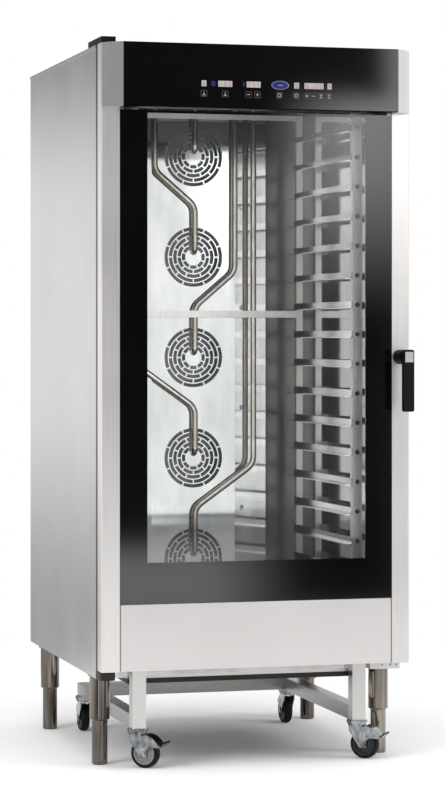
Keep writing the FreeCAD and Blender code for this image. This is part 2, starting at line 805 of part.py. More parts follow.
def build_fans():
    """A bladed wheel on its shaft behind each guard, with a heater ring round it and a motor outside."""
    motors = []
    heaters = []
    bore = "shaft_radius + running_clearance"
    hub_front = "fan_width - fan_hub_length"
    for index in fans():
        axis = ("0", "fan_front", fan_z(index))
        wheel = turned([
            ("0", hub_front),
            ("fan_hub_radius", hub_front),
            ("fan_hub_radius", "fan_width - fan_sheet"),
            ("fan_radius", "fan_width - fan_sheet"),
            ("fan_radius", "fan_width"),
            (bore, "fan_width"),
            (bore, f"{hub_front} + fan_hub_face"),
            ("0", f"{hub_front} + fan_hub_face"),
        ], "y", axis)
        blade = outline(wheel, "xy", [
            ("fan_radius - blade_length", "-fan_sheet / 2"),
            ("fan_radius - fan_sheet", "-fan_sheet / 2"),
            ("fan_radius - fan_sheet", "fan_sheet / 2"),
            ("fan_radius - blade_length", "fan_sheet / 2"),
        ])
        pad = wheel.newObject("PartDesign::Pad", "blade")
        pad.Profile = blade
        bind(pad, "Length", "fan_width - fan_sheet / 2")
        blades = wheel.newObject("PartDesign::PolarPattern", "blades")
        blades.Originals = [pad]
        blades.Axis = (blade, ["N_Axis"])
        bind(blades, "Occurrences", "fan_blades")
        ring = outline(wheel, "xz", [
            ("fan_radius - fan_ring_width", "0"),
            ("fan_radius", "0"),
            ("fan_radius", "fan_sheet"),
            ("fan_radius - fan_ring_width", "fan_sheet"),
        ])
        hoop = wheel.newObject("PartDesign::Revolution", "front_ring")
        hoop.Profile = ring
        hoop.ReferenceAxis = (ring, ["V_Axis"])
        hoop.Angle = 360
        wheel.Tip = hoop
        shaft = rod("y", "shaft_radius", f"fan_front + {hub_front} + fan_hub_face",
                    "motor_front + shaft_engagement", ("0", fan_z(index)))
        node(f"fan_wheel_{index + 1}", group(wheel, shaft))

        motors.append(turned([
            (bore, "0"),
            ("motor_flange_radius", "0"),
            ("motor_flange_radius", "motor_flange_thickness"),
            ("motor_radius", "motor_flange_thickness"),
            ("motor_radius", "motor_length"),
            ("0", "motor_length"),
            ("0", "shaft_engagement + motor_flange_thickness"),
            (bore, "shaft_engagement + motor_flange_thickness"),
        ], "y", ("0", "motor_front", fan_z(index))))

        ring_y = "baffle_front + heater_setback"
        loop = turned([
            ("heater_radius - heater_tube / 2", "0"),
            ("heater_radius + heater_tube / 2", "0"),
            ("heater_radius + heater_tube / 2", "heater_tube"),
            ("heater_radius - heater_tube / 2", "heater_tube"),
        ], "y", ("0", ring_y, fan_z(index)))
        level = (f"{fan_z(index)} - heater_tube / 2", f"{fan_z(index)} + heater_tube / 2")
        legs = [box((f"{middle} - heater_tube / 2", f"{middle} + heater_tube / 2"),
                    (ring_y, "cav_rear"), level)
                for middle in ("-heater_radius", "heater_radius")]
        heaters.append(fuse(loop, *legs))
    node("fan_motors", group(*motors))
    node("heating_elements", group(*heaters))


def pipe_path(corners, radius):
    """Straight runs joined by tangent arcs of one radius."""
    edges = []
    start = corners[0]
    for before, corner, after in zip(corners, corners[1:], corners[2:]):
        come = (corner - before).normalize()
        leave = (after - corner).normalize()
        turn = come.getAngle(leave)
        setback = radius * math.tan(turn / 2)
        first = corner - come * setback
        last = corner + leave * setback
        bisector = (leave - come).normalize()
        middle = corner + bisector * (radius / math.cos(turn / 2) - radius)
        edges.append(Part.LineSegment(start, first).toShape())
        edges.append(Part.Arc(first, middle, last).toShape())
        start = last
    edges.append(Part.LineSegment(start, corners[-1]).toShape())
    return edges


def build_pipes():
    """Water pipes that hang from the ceiling and step across to the eye of each fan."""
    y = number("pipe_y")
    drops = ["0", "pipe_near_drop", "pipe_near_drop", "pipe_far_drop", "pipe_far_drop"]
    pipes = []
    for index, column, drop in zip(fans(), pipe_columns(), drops):
        tip_z = number(f"{fan_z(index)} + pipe_rise")
        corners = [Vector(number(column), y, number("cav_top + pipe_above_ceiling"))]
        if number(column):
            step = number(f"{fan_z(index)} + pipe_step")
            corners.append(Vector(number(column), y, step + number(drop)))
            corners.append(Vector(0, y, step))
        bend = number("pipe_tip_bend")
        edges = pipe_path(corners + [Vector(0, y, tip_z + bend)], number("pipe_bend"))
        knee = math.sqrt(0.5) * bend
        edges.append(Part.Arc(Vector(0, y, tip_z + bend), Vector(0, y + bend - knee, tip_z + bend - knee),
                              Vector(0, y + bend, tip_z)).toShape())
        edges.append(Part.LineSegment(Vector(0, y + bend, tip_z),
                                      Vector(0, number("baffle_front + pipe_tip_reach"), tip_z)).toShape())
        section = Part.Wire(Part.Circle(corners[0], Vector(0, 0, 1), number("pipe_radius")).toShape())
        pipe = document.addObject("Part::Feature", "pipe")
        pipe.Shape = Part.Wire(edges).makePipeShell([section], True, False)
        collar = rod("z", "pipe_radius + collar_growth", "cav_top + skin",
                     "cav_top + skin + collar_thickness", (column, "pipe_y"))
        pipes.append(fuse(pipe, collar))
    node("injector_pipes", group(*pipes))


def build_door():
    """Two folded stiles that hold the glass and the lower panel, with the fascia above them."""
    def stile(side):
        def x(text):
            return f"{side} * (half - ({text}))"
        folded = prism("xy", [
            (x("stile_width"), "door_back"),
            (x("0"), "door_back"),
            (x("0"), "door_front"),
            (x("stile_width"), "door_front"),
            (x("stile_width"), "door_front + glass_thickness"),
            (x("stile_width + stile_lip"), "door_front + glass_thickness"),
            (x("stile_width + stile_lip"), "door_front + glass_thickness + skin"),
            (x("stile_width - skin"), "door_front + glass_thickness + skin"),
            (x("stile_width - skin"), "door_front + skin"),
            (x("skin"), "door_front + skin"),
            (x("skin"), "door_back - skin"),
            (x("stile_width"), "door_back - skin"),
        ], "door_bottom", "door_top")
        folded = rounded(folded, "stile_round", is_outer_edge)
        ends = sorted((x("skin"), x("stile_width - skin")), key=number)
        levels = (("door_bottom", "door_bottom + stile_cap"), ("door_top - stile_cap", "door_top"))
        caps = [box(ends, ("door_front + skin", "door_back - skin"), level) for level in levels]
        return fuse(folded, *caps)

    def is_outer_edge(edge):
        limits = edge.BoundBox
        return limits.ZLength > 1 and abs(abs(limits.Center.x) - number("half")) < 0.01

    pin_bore = rod("z", "bore_radius", "door_bottom - 1", "door_top + 1", ("hinge_x", "hinge_y"))
    spindle_bore = rod("y", "spindle_radius + running_clearance", "door_front - 1", "door_back + 1",
                       ("handle_x", "handle_z"))
    node("door_stiles", group(cut(stile("-1"), pin_bore), cut(stile("1"), spindle_bore)))

    across = ("-door_half", "door_half")
    glass_y = ("door_front", "door_front + glass_thickness")
    panel_z = ("door_bottom + panel_play", "glass_bottom - panel_play / 2")
    node("door_lower_panel", cut(
        box(across, glass_y, panel_z),
        box(("skin - door_half", "door_half - skin"), ("door_front + skin", "door_back"),
            (f"{panel_z[0]} + skin", f"{panel_z[1]} - skin")),
    ))
    node("door_outer_glass", box(across, glass_y, ("glass_bottom", "glass_top")))

    frame_z = ("door_bottom + panel_play", "door_top - panel_play")
    node("door_back_frame", cut(
        box(across, ("door_back - back_frame_depth", "door_back"), frame_z),
        box(("skin - door_half", "door_half - skin"), ("door_front", "door_back - skin"),
            (f"{frame_z[0]} + skin", f"{frame_z[1]} - skin")),
        box(("-window_half", "window_half"), ("door_front", "door_back + 1"),
            ("window_bottom", "window_top")),
    ))
    pane = "window_half + inner_glass_overlap"
    node("door_inner_glass", box(
        (f"-({pane})", pane), ("door_back - skin - inner_glass_thickness", "door_back - skin"),
        ("window_bottom - inner_glass_overlap", "window_top + inner_glass_overlap")))


def build_fascia():
    """The control housing on the door's head, whose ends run back to the door's edges."""
    def section(inset, back):
        middle_x = f"(half + fascia_half) / 2 + fascia_bulge - {inset}"
        middle_y = f"(door_front + fascia_front) / 2 - fascia_bulge + {inset} / 2"
        right = [
            (f"half - 1.5 * {inset}", back),
            (f"half - 1.5 * {inset}", "door_front"),
            (middle_x, middle_y),
            (f"fascia_half - {inset} / 2", f"fascia_front + {inset}"),
        ]
        if back == "door_front":
            right = right[1:]
        return right + [(f"-({x})", y) for x, y in reversed(right)]

    shell = prism("xy", section("0", "door_front"), "fascia_bottom", "door_top")
    space = prism("xy", section("skin", "door_front + 1"), "fascia_bottom + skin", "door_top - skin")
    node("fascia_housing", cut(shell, space))
    node("fascia_glass", box(("-fascia_half", "fascia_half"), ("door_front - fascia_reach", "fascia_front"),
                             ("fascia_bottom + fascia_glass_border", "door_top - fascia_glass_border")))
    node("control_board", box(
        ("-board_width / 2", "board_width / 2"),
        ("fascia_front + skin", "fascia_front + skin + board_thickness"),
        ("fascia_bottom + board_rise", "fascia_bottom + board_rise + board_height")))


def build_hinges():
    """A bracket with a welded pin above and below the left stile."""
    def bracket(radius, tail, low, high):
        return [
            box((f"hinge_x - {radius}", f"hinge_x + {radius}"), ("hinge_y", tail), (low, high)),
            rod("z", radius, low, high, ("hinge_x", "hinge_y")),
        ]

    spot = ("hinge_x", "hinge_y")
    plate = bracket("top_bracket_radius", "cab_front + top_bracket_tail", "cab_top",
                    "cab_top + top_bracket_thickness")
    pin = rod("z", "pin_radius", "door_top - pin_reach", "cab_top + top_bracket_thickness / 2", spot)
    node("top_hinge_bracket", fuse(*plate, pin))

    cap_x = ("-half", "cap_width - half")
    cap_y = ("door_front", "cab_front + cap_tail")
    node("top_hinge_cap", cut(
        box(cap_x, cap_y, ("cab_top", "cab_top + cap_height")),
        box((f"{cap_x[0]} + cap_wall", f"{cap_x[1]} - cap_wall"),
            (f"{cap_y[0]} + cap_wall", f"{cap_y[1]} - cap_wall"),
            ("cab_top - 1", "cab_top + cap_height - cap_wall")),
    ))

    top = "door_bottom - bottom_bracket_gap"
    block = bracket("bottom_bracket_radius", "cab_front", f"{top} - bottom_bracket_height", top)
    pin = rod("z", "pin_radius", f"{top} - bottom_bracket_height / 2", "door_bottom + pin_reach", spot)
    node("bottom_hinge_bracket", fuse(*block, pin))


def build_handle():
    """A lever grip on its boss, and the spindle that carries the latch hook through the stile."""
    spot = ("handle_x", "handle_z")
    bar = box(("handle_x - grip_width / 2", "handle_x + grip_width / 2"), ("grip_front", "grip_back"),
              ("handle_z - grip_below", "handle_z + grip_above"))
    grip = rounded(bar, "grip_round", lambda edge: True)
    boss = rod("y", "boss_radius", "grip_back - grip_depth / 4", "boss_back", spot)
    insert = (
        ("handle_x - insert_width / 2", "handle_x + insert_width / 2"),
        ("grip_front", "grip_front + insert_sink"),
        ("handle_z - insert_height / 2", "handle_z + insert_height / 2"),
    )
    socket = rod("y", "spindle_radius + running_clearance", "boss_back - spindle_seat", "boss_back + 1", spot)
    node("handle_grip", cut(fuse(grip, boss), box(*insert), socket))
    node("handle_insert", box(*insert))

    hook_y = ("door_back + latch_depth - hook_thickness", "door_back + latch_depth")
    node("latch_spindle", fuse(
        rod("y", "spindle_radius", "boss_back - spindle_seat", hook_y[1], spot),
        box(("handle_x - hook_reach", "handle_x + hook_reach"), hook_y,
            ("handle_z - hook_width / 2", "handle_z + hook_width / 2")),
    ))
    outside = "keeper_radius + keeper_wall"
    node("latch_keeper", turned([
        ("keeper_radius", "0"),
        (outside, "0"),
        (outside, "keeper_depth"),
        ("0", "keeper_depth"),
        ("0", "keeper_depth - keeper_wall"),
        ("keeper_radius", "keeper_depth - keeper_wall"),
    ], "y", ("handle_x", "flange_front", "handle_z")))


def build_stubs():
    """The chimney on the cavity's ceiling, with a rain collar, and the connections on the back."""
    node("exhaust_chimney", turned([
        ("chimney_tube - chimney_wall", "cav_top + skin"),
        ("chimney_tube", "cav_top + skin"),
        ("chimney_tube", "cab_top"),
        ("chimney_radius + collar_growth", "cab_top"),
        ("chimney_radius + collar_growth", "cab_top + collar_thickness"),
        ("chimney_radius", "cab_top + collar_thickness"),
        ("chimney_radius", "cab_top + chimney_rise"),
        ("chimney_tube - chimney_wall", "cab_top + chimney_rise"),
    ], at=("chimney_side", "chimney_y", "0")))
    for name, radius, bore, reach, x, z in STUBS:
        node(name, turned([
            (bore, "0"),
            (f"{radius} + collar_growth", "0"),
            (f"{radius} + collar_growth", "collar_thickness"),
            (radius, "collar_thickness"),
            (radius, reach),
            (bore, reach),
        ], "y", (x, "cab_rear", z)))


def build_trolley():
    """A square-tube base, a deck over the cavity floor, and a rack of tray runners."""
    tubes = []
    rail_z = ("caster_height", "caster_height + tube_size")
    for side in ("-1", "1"):
        x = (f"{side} * post_x - tube_size / 2", f"{side} * post_x + tube_size / 2")
        tubes.append(hollow(x, ("post_front", "post_back"), ("caster_height", "deck_top"), "z", "tube_wall"))
        tubes.append(hollow(x, ("post_back", "frame_back"), rail_z, "y", "tube_wall"))
    gap = "post_x - tube_size / 2"
    tubes.append(hollow((f"-({gap})", gap), ("frame_back - tube_size", "frame_back"), rail_z, "x",
                        "tube_wall"))
    node("trolley_frame", group(*tubes))

    deck_y = ("post_back", "rack_rear + deck_overhang")
    node("trolley_deck", cut(
        box(("-deck_half", "deck_half"), deck_y, ("deck_top - deck_thickness", "deck_top")),
        box(("tube_wall - deck_half", "deck_half - tube_wall"),
            (f"{deck_y[0]} + tube_wall", f"{deck_y[1]} - tube_wall"), ("cav_floor", "deck_top - tube_wall")),
    ))

    upright_z = ("deck_top", "rack_top")
    uprights = []
    for width, y in (
        ("front_upright_width", ("rack_front", "rack_front + upright_depth")),
        ("rear_upright_width", ("rack_rear - upright_depth", "rack_rear")),
    ):
        outside = f"upright_half + {width}"
        uprights.append(hollow(("upright_half", outside), y, upright_z, "z", "tube_wall"))
        uprights.append(hollow((f"-({outside})", "-upright_half"), y, upright_z, "z", "tube_wall"))
    node("rack_uprights", group(*uprights))

    for name, side in (("left_tray_runners", "-1"), ("right_tray_runners", "1")):
        runner = prism("xz", [
            (f"{side} * upright_half", "runner_first"),
            (f"{side} * upright_half", "runner_first + runner_web"),
            (f"{side} * web_half", "runner_first + runner_web"),
            (f"{side} * web_half", "runner_first + runner_sheet"),
            (f"{side} * (web_half - runner_ledge)", "runner_first + runner_sheet"),
            (f"{side} * (web_half - runner_ledge)", "runner_first"),
        ], "rack_front", "rack_rear")
        levels = runner.newObject("PartDesign::LinearPattern", "levels")
        levels.Originals = [runner.Tip]
        levels.Direction = (origin_part(runner, "Z_Axis"), [""])
        bind(levels, "Length", "(runner_count - 1) * runner_pitch")
        bind(levels, "Occurrences", "runner_count")
        runner.Tip = levels
        node(name, runner)

    bar_middle = "rack_rear - upright_depth / 2"
    bar_y = (f"{bar_middle} - crossbar_thickness / 2", f"{bar_middle} + crossbar_thickness / 2")
    middle_top = "runner_first + middle_bar_level * runner_pitch - middle_bar_gap"
    bars = [box(("-upright_half", "upright_half"), bar_y, (f"{top} - crossbar_height", top))
            for top in (middle_top, "rack_top - top_bar_drop")]
    node("rack_crossbars", group(*bars))


def stand(thing, x, y, turn):
    """Put a caster's piece on its kingpin's axis, turned by so many degrees."""
    thing.Placement = FreeCAD.Placement(Vector(), FreeCAD.Rotation(Vector(0, 0, 1), number(turn)))
    return place(thing, x, y, "0")


def caster_head():
    """The plate, kingpin and nut that the fork turns on."""
    return turned([
        ("0", "nut_top - nut_height"),
        ("nut_radius", "nut_top - nut_height"),
        ("nut_radius", "nut_top"),
        ("kingpin_radius", "nut_top"),
        ("kingpin_radius", "head_bottom"),
        ("head_radius", "head_bottom"),
        ("head_radius", "caster_height"),
        ("0", "caster_height"),
    ])


def caster_fork(braked):
    """A crown with two cheeks that trail behind the kingpin, and the axle between them."""
    eye = [
        ("-fork_half", "fork_crown"),
        ("fork_half", "fork_crown"),
        ("fork_half + fork_step", "fork_neck - fork_step"),
        ("caster_trail + fork_knee", "wheel_radius + fork_knee_height"),
        ("caster_trail + fork_toe", "wheel_radius + fork_toe_height"),
        ("caster_trail + fork_eye", "wheel_radius + fork_eye"),
        ("caster_trail + fork_eye", "wheel_radius - fork_eye"),
        ("caster_trail - fork_eye", "wheel_radius - fork_eye"),
        ("-fork_half", "fork_neck - fork_waist"),
    ]
    solids = [rod("z", "fork_radius", "fork_neck", "fork_crown", ("0", "0"))]
    for low, high in (("fork_inside", "fork_outside"), ("-fork_outside", "-fork_inside")):
        solids.append(prism("xz", eye, low, high))
    if braked:
        solids.append(rod("y", "pedal_pin_radius", "fork_inside", "pedal_outside + pedal_play",
                          ("pedal_pin_x", "pedal_pin_height")))
        solids.append(rod("y", "pedal_pin_radius", "-pedal_outside - pedal_play", "-fork_inside",
                          ("pedal_pin_x", "pedal_pin_height")))
    fork = cut(
        fuse(*solids),
        rod("z", "kingpin_radius + running_clearance", "fork_neck - 1", "fork_crown + 1", ("0", "0")),
        rod("y", "axle_radius + running_clearance", "-fork_outside - 1", "fork_outside + 1",
            ("caster_trail", "wheel_radius")),
    )
    axle = turned([
        ("0", "-fork_outside - axle_proud"),
        ("axle_head", "-fork_outside - axle_proud"),
        ("axle_head", "-fork_outside"),
        ("axle_radius", "-fork_outside"),
        ("axle_radius", "fork_outside"),
        ("axle_head", "fork_outside"),
        ("axle_head", "fork_outside + axle_proud"),
        ("0", "fork_outside + axle_proud"),
    ], "y", ("caster_trail", "0", "wheel_radius"))
    return group(fork, axle)


def caster_wheel():
    """A hub that turns on the axle, inside its tyre."""
    rim = "wheel_radius - tyre_depth"
    sides = ("-wheel_width / 2", "wheel_width / 2")
    centre = ("caster_trail", "0", "wheel_radius")
    bore = "axle_radius + running_clearance"
    hub = turned([(bore, sides[0]), (rim, sides[0]), (rim, sides[1]), (bore, sides[1])], "y", centre)
    bevel = "tyre_depth / 3"
    tyre = turned([
        (rim, sides[0]),
        (f"wheel_radius - {bevel}", sides[0]),
        ("wheel_radius", f"{sides[0]} + {bevel}"),
        ("wheel_radius", f"{sides[1]} - {bevel}"),
        (f"wheel_radius - {bevel}", sides[1]),
        (rim, sides[1]),
    ], "y", centre)
    return group(hub, tyre)


def brake_pedal():
    """A foot lever that arches over the tyre, on two arms that straddle the fork."""
    centre = ("caster_trail", "wheel_radius")
    across = ("-pedal_outside", "pedal_outside")
    beyond = ("-pedal_outside - 1", "pedal_outside + 1")
    reach = "pedal_arch + pedal_thickness + 1"
    whole_x = (f"caster_trail - ({reach})", f"caster_trail + {reach}")
    whole_z = (f"wheel_radius - ({reach})", f"wheel_radius + {reach}")
    arch = cut(
        rod("y", "pedal_arch + pedal_thickness", *across, centre),
        rod("y", "pedal_arch", *beyond, centre),
        box((whole_x[0], "caster_trail + pedal_arch_start"), beyond, whole_z),
        box(whole_x, beyond, (whole_z[0], "pedal_root")),
    )
    arm = [
        ("pedal_pin_x - pedal_arm_half", "pedal_pin_height - pedal_arm_half"),
        ("pedal_pin_x + pedal_arm_half", "pedal_pin_height - pedal_arm_half"),
        ("pedal_tip_start", "pedal_root - pedal_thickness"),
        ("pedal_tip_start", "pedal_root + pedal_thickness"),
        ("caster_trail + pedal_shoulder", "wheel_radius + pedal_shoulder"),
        ("caster_trail + pedal_arch_start", "wheel_radius + pedal_arch + pedal_thickness / 2"),
        ("pedal_pin_x - pedal_arm_half", "pedal_pin_height + pedal_arm_half"),
    ]
    arms = [prism("xz", arm, low, high)
            for low, high in (("pedal_inside", "pedal_outside"), ("-pedal_outside", "-pedal_inside"))]
    tip_end = "pedal_tip_start + pedal_tongue"
    tongue = prism("xz", [
        ("pedal_tip_start", "pedal_root - pedal_thickness"),
        ("pedal_tip_start + pedal_heel", "pedal_root - pedal_thickness"),
        (tip_end, "pedal_root + pedal_lift"),
        (f"{tip_end} - pedal_thickness / 2", "pedal_root + pedal_lift + pedal_thickness"),
        ("pedal_tip_start + pedal_heel", "pedal_root + pedal_thickness / 2"),
        ("pedal_tip_start", "pedal_root + pedal_thickness"),
    ], *across)
    bore = rod("y", "pedal_pin_radius + running_clearance", *beyond, ("pedal_pin_x", "pedal_pin_height"))
    return cut(fuse(*arms, arch, tongue), bore)


def build_casters():
    """Four swivel casters; the front pair have brakes and trail to the right, the rear pair trail back."""
    heads = []
    for row, y, turn in (("front", "post_y", "-caster_turn"), ("rear", "rear_caster_y", "90")):
        for side, x in (("left", "-post_x"), ("right", "post_x")):
            heads.append(stand(caster_head(), x, y, "0"))
            braked = row == "front"
            node(f"caster_fork_{row}_{side}", stand(caster_fork(braked), x, y, turn))
            node(f"caster_wheel_{row}_{side}", stand(caster_wheel(), x, y, turn))
            if braked:
                node(f"brake_pedal_{row}_{side}", stand(brake_pedal(), x, y, turn))
    node("caster_heads", group(*heads))


def write_files():
    """Check every object and piece, then write one file for each piece."""
    document.recompute()
    for thing in document.Objects:
        if "Invalid" in thing.State or "Error" in thing.State:
            raise RuntimeError(f"{thing.Label} failed: {thing.State}")
    for name, thing in nodes.items():
        if thing.Shape.isNull() or not thing.Shape.isValid() or not thing.Shape.Solids:
            raise RuntimeError(f"{name} has no valid solid")
    os.makedirs("parts", exist_ok=True)
    for name, thing in nodes.items():
        thing.Shape.exportStep(f"parts/{name}.step")
        print(name, len(thing.Shape.Solids), thing.Shape.BoundBox)


fill_sheet()
build_cabinet()
build_legs()
build_cavity()
build_baffle()
build_fans()
build_pipes()
build_door()
build_fascia()
build_hinges()
build_handle()
build_stubs()
build_trolley()
build_casters()
write_files()
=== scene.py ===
"""Looks of the convection oven: finishes for its CAD pieces, the printed door glass, the lit
controls, the caster wheels and the small fasteners, with a plain studio round them.

Metres, in the CAD frame.
"""
import logging
import math
from dataclasses import dataclass, field, replace
from enum import Enum
from typing import Iterable, Sequence, Union

import bmesh
import bpy
from bmesh.types import BMesh
from bpy.types import ID, Material, Node, NodeSocket, NodeTree, Object
from mathutils import Matrix, Vector


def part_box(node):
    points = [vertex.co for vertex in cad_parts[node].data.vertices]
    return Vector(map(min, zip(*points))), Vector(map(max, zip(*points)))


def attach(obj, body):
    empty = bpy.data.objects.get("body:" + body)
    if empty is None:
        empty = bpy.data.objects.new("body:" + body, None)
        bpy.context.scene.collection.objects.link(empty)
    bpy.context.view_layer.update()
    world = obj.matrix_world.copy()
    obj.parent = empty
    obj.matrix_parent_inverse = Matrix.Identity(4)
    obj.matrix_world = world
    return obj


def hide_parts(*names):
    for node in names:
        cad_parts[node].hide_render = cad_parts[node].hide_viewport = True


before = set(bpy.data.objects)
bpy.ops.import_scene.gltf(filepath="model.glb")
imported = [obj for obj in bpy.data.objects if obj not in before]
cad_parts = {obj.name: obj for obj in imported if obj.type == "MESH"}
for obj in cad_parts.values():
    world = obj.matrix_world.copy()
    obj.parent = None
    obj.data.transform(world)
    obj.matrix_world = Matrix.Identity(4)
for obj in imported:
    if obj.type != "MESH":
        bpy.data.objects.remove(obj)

LOG = logging.getLogger("oven")
MM = 0.001
WHITE = (1.0, 1.0, 1.0, 1.0)
CORNERS = ("front_left", "front_right", "rear_left", "rear_right")
# A finish mixes fine marks with slow clouds, and spreads the mix over its colours and roughness.
CLOUD_SHARE = 0.45
MARK_DETAIL, CLOUD_DETAIL = 3.0, 2.0
COLOUR_SPAN = (0.35, 0.65)
GLOSS_SPAN = (0.3, 0.7)
# How early a pane turns into a mirror towards grazing angles, and the colour of the film on it.
MIRROR_BLEND = 0.34
FILM_COLOUR = "#e6eaee"
# The widest angle between two faces that are shaded as one curved surface.
SMOOTH_LIMIT = math.radians(35)
# The angle of the front casters' axles from straight back.
FRONT_AXLE_TURN = math.radians(40)
# A screw head's sides, and the radius of its top and of its recess as shares of the head's.
HEAD_SIDES, RECESS_SIDES = 16, 6
TOP_SHARE, RECESS_SHARE = 0.72, 0.42
Point = tuple[float, float, float]
Pair = tuple[float, float]
Setting = Union[float, tuple, str, NodeSocket, Node]
Inputs = dict[Union[str, int], Setting]


def linear(hex_colour: str) -> tuple[float, float, float, float]:
    """Turn an sRGB hex colour into the linear one that shaders use.

    Args:
        hex_colour: six hex digits after a hash.

    Returns:
        Red, green, blue and an alpha of one.
    """
    parts = [int(hex_colour[start:start + 2], 16) / 255 for start in (1, 3, 5)]
    red, green, blue = (
        part / 12.92 if part <= 0.04045 else ((part + 0.055) / 1.055) ** 2.4 for part in parts
    )
    return red, green, blue, 1.0


def set_inputs(tree: NodeTree, node: Node, inputs: Inputs) -> None:
    """Set or link some inputs of a node.

    Args:
        tree: the tree that the node is in.
        node: the node.
        inputs: by name or number, a constant, an output, or a node for its first output.
    """
    for name, value in inputs.items():
        if isinstance(value, Node):
            value = value.outputs[0]
        if isinstance(value, NodeSocket):
            tree.links.new(value, node.inputs[name])
        else:
            node.inputs[name].default_value = value


def add_node(tree: NodeTree, kind: str, inputs: Inputs | None = None, **settings: object) -> Node:
    """Add one node with its settings, constants and links.

    Args:
        tree: the tree that takes it.
        kind: Blender's name for the node.
        inputs: its inputs, as set_inputs takes them.
        settings: the node's own properties.

    Returns:
        The new node.
    """
    node = tree.nodes.new(kind)
    for name, value in settings.items():
        setattr(node, name, value)
    set_inputs(tree, node, inputs or {})
    return node


def add_sum(tree: NodeTree, operation: str, *values: Setting, **settings: object) -> Node:
    """Add a math node on its values in turn."""
    inputs = dict(enumerate(values))
    return add_node(tree, "ShaderNodeMath", inputs, operation=operation, **settings)


def add_range(tree: NodeTree, value: Setting, source: Pair, target: Pair,
              **settings: object) -> Node:
    """Add a node that carries a value over from one range to another."""
    ends = dict(zip(("From Min", "From Max", "To Min", "To Max"), (*source, *target)))
    return add_node(tree, "ShaderNodeMapRange", {"Value": value, **ends}, **settings)


def add_ramp(tree: NodeTree, value: Setting, shades: Sequence[str],
             span: Pair = (0.0, 1.0)) -> Node:
    """Add a ramp that goes from the first shade to the second over a span of values."""
    ramp = add_node(tree, "ShaderNodeValToRGB", {"Fac": value})
    for stop, place, shade in zip(ramp.color_ramp.elements, span, shades):
        stop.position = place
        stop.color = linear(shade)
    return ramp


def link_object(name: str, data: ID) -> Object:
    """Put a new object into the scene.

    Args:
        name: its name.
        data: its mesh, lamp or camera.

    Returns:
        The new object.
    """
    made = bpy.data.objects.new(name, data)
    bpy.context.scene.collection.objects.link(made)
    return made


class Grain(Enum):
    """The way a surface's marks run, as the size in millimetres of one mark along X, Y and Z."""

    UPRIGHT = (1.6, 1.6, 260.0)
    ACROSS = (260.0, 260.0, 1.6)
    DEEP = (1.6, 260.0, 1.6)
    NONE = (9.0, 9.0, 9.0)


@dataclass(frozen=True)
class Finish:
    """A surface whose colour and roughness follow marks and clouds, and its height the marks."""

    name: str
    dark: str
    light: str
    roughness: Pair
    pattern_mm: tuple[float, float, float] = Grain.NONE.value
    bump_mm: float = 0.0
    metallic: float = 0.0
    specular: float = 0.5
    cloud_mm: float = 320.0

    def material(self) -> Material:
        """Make the material, or give back the one already made.

        Returns:
            The material named for this finish.
        """
        found = bpy.data.materials.get(self.name)
        if found:
            return found
        material = bpy.data.materials.new(self.name)
        material.use_nodes = True
        material.diffuse_color = linear(self.light)
        tree = material.node_tree
        shader = tree.nodes["Principled BSDF"]
        shader.inputs["Metallic"].default_value = self.metallic
        if not self.metallic:
            shader.inputs["Specular IOR Level"].default_value = self.specular
        self.draw(tree, shader)
        return material

    def draw(self, tree: NodeTree, shader: Node) -> None:
        """Link the pattern to the shader: fine marks over slow clouds.

        Args:
            tree: the material's node tree.
            shader: its Principled shader.
        """
        where = add_node(tree, "ShaderNodeTexCoord").outputs["Object"]
        scale = tuple(1 / (size * MM) for size in self.pattern_mm)
        marks_at = add_node(tree, "ShaderNodeMapping", {"Vector": where, "Scale": scale})
        marks = add_node(tree, "ShaderNodeTexNoise",
                         {"Vector": marks_at, "Scale": 1.0, "Detail": MARK_DETAIL})
        clouds = add_node(tree, "ShaderNodeTexNoise", {
            "Vector": where, "Scale": 1 / (self.cloud_mm * MM), "Detail": CLOUD_DETAIL,
        })
        mixed = add_node(tree, "ShaderNodeMix", {"Factor": CLOUD_SHARE, "A": marks, "B": clouds})
        colour = add_ramp(tree, mixed, (self.dark, self.light), COLOUR_SPAN)
        gloss = add_range(tree, mixed, GLOSS_SPAN, self.roughness)
        set_inputs(tree, shader, {"Base Color": colour, "Roughness": gloss})
        if self.bump_mm:
            bump = add_node(tree, "ShaderNodeBump", {
                "Height": marks, "Distance": self.bump_mm * MM, "Strength": 1.0,
            })
            set_inputs(tree, shader, {"Normal": bump})


@dataclass(frozen=True)
class SplitFinish(Finish):
    """A finish whose colour changes between two planes, as on a dipped end, or as painted light and
    shade.
    """

    far_dark: str = "#000000"
    far_light: str = "#ffffff"
    across: Point = (0.0, 0.0, 1.0)
    beyond: float = 0.0
    until: float = 10.0
    both_sides: bool = False

    def draw(self, tree: NodeTree, shader: Node) -> None:
        """Draw the plain finish, then give its pattern two other colours between the planes."""
        super().draw(tree, shader)
        near = shader.inputs["Base Color"].links[0].from_socket
        pattern = near.node.inputs["Fac"].links[0].from_socket
        far = add_ramp(tree, pattern, (self.far_dark, self.far_light))
        where = add_node(tree, "ShaderNodeTexCoord").outputs["Object"]
        reach = add_node(tree, "ShaderNodeVectorMath", {0: where, 1: self.across},
                         operation="DOT_PRODUCT").outputs["Value"]
        if self.both_sides:
            reach = add_sum(tree, "ABSOLUTE", reach)
        past = add_sum(tree, "GREATER_THAN", reach, self.beyond)
        short = add_sum(tree, "LESS_THAN", reach, self.until)
        inside = add_sum(tree, "MULTIPLY", past, short)
        both = add_node(tree, "ShaderNodeMix", {0: inside, 6: near, 7: far}, data_type="RGBA")
        set_inputs(tree, shader, {"Base Color": both.outputs[2]})


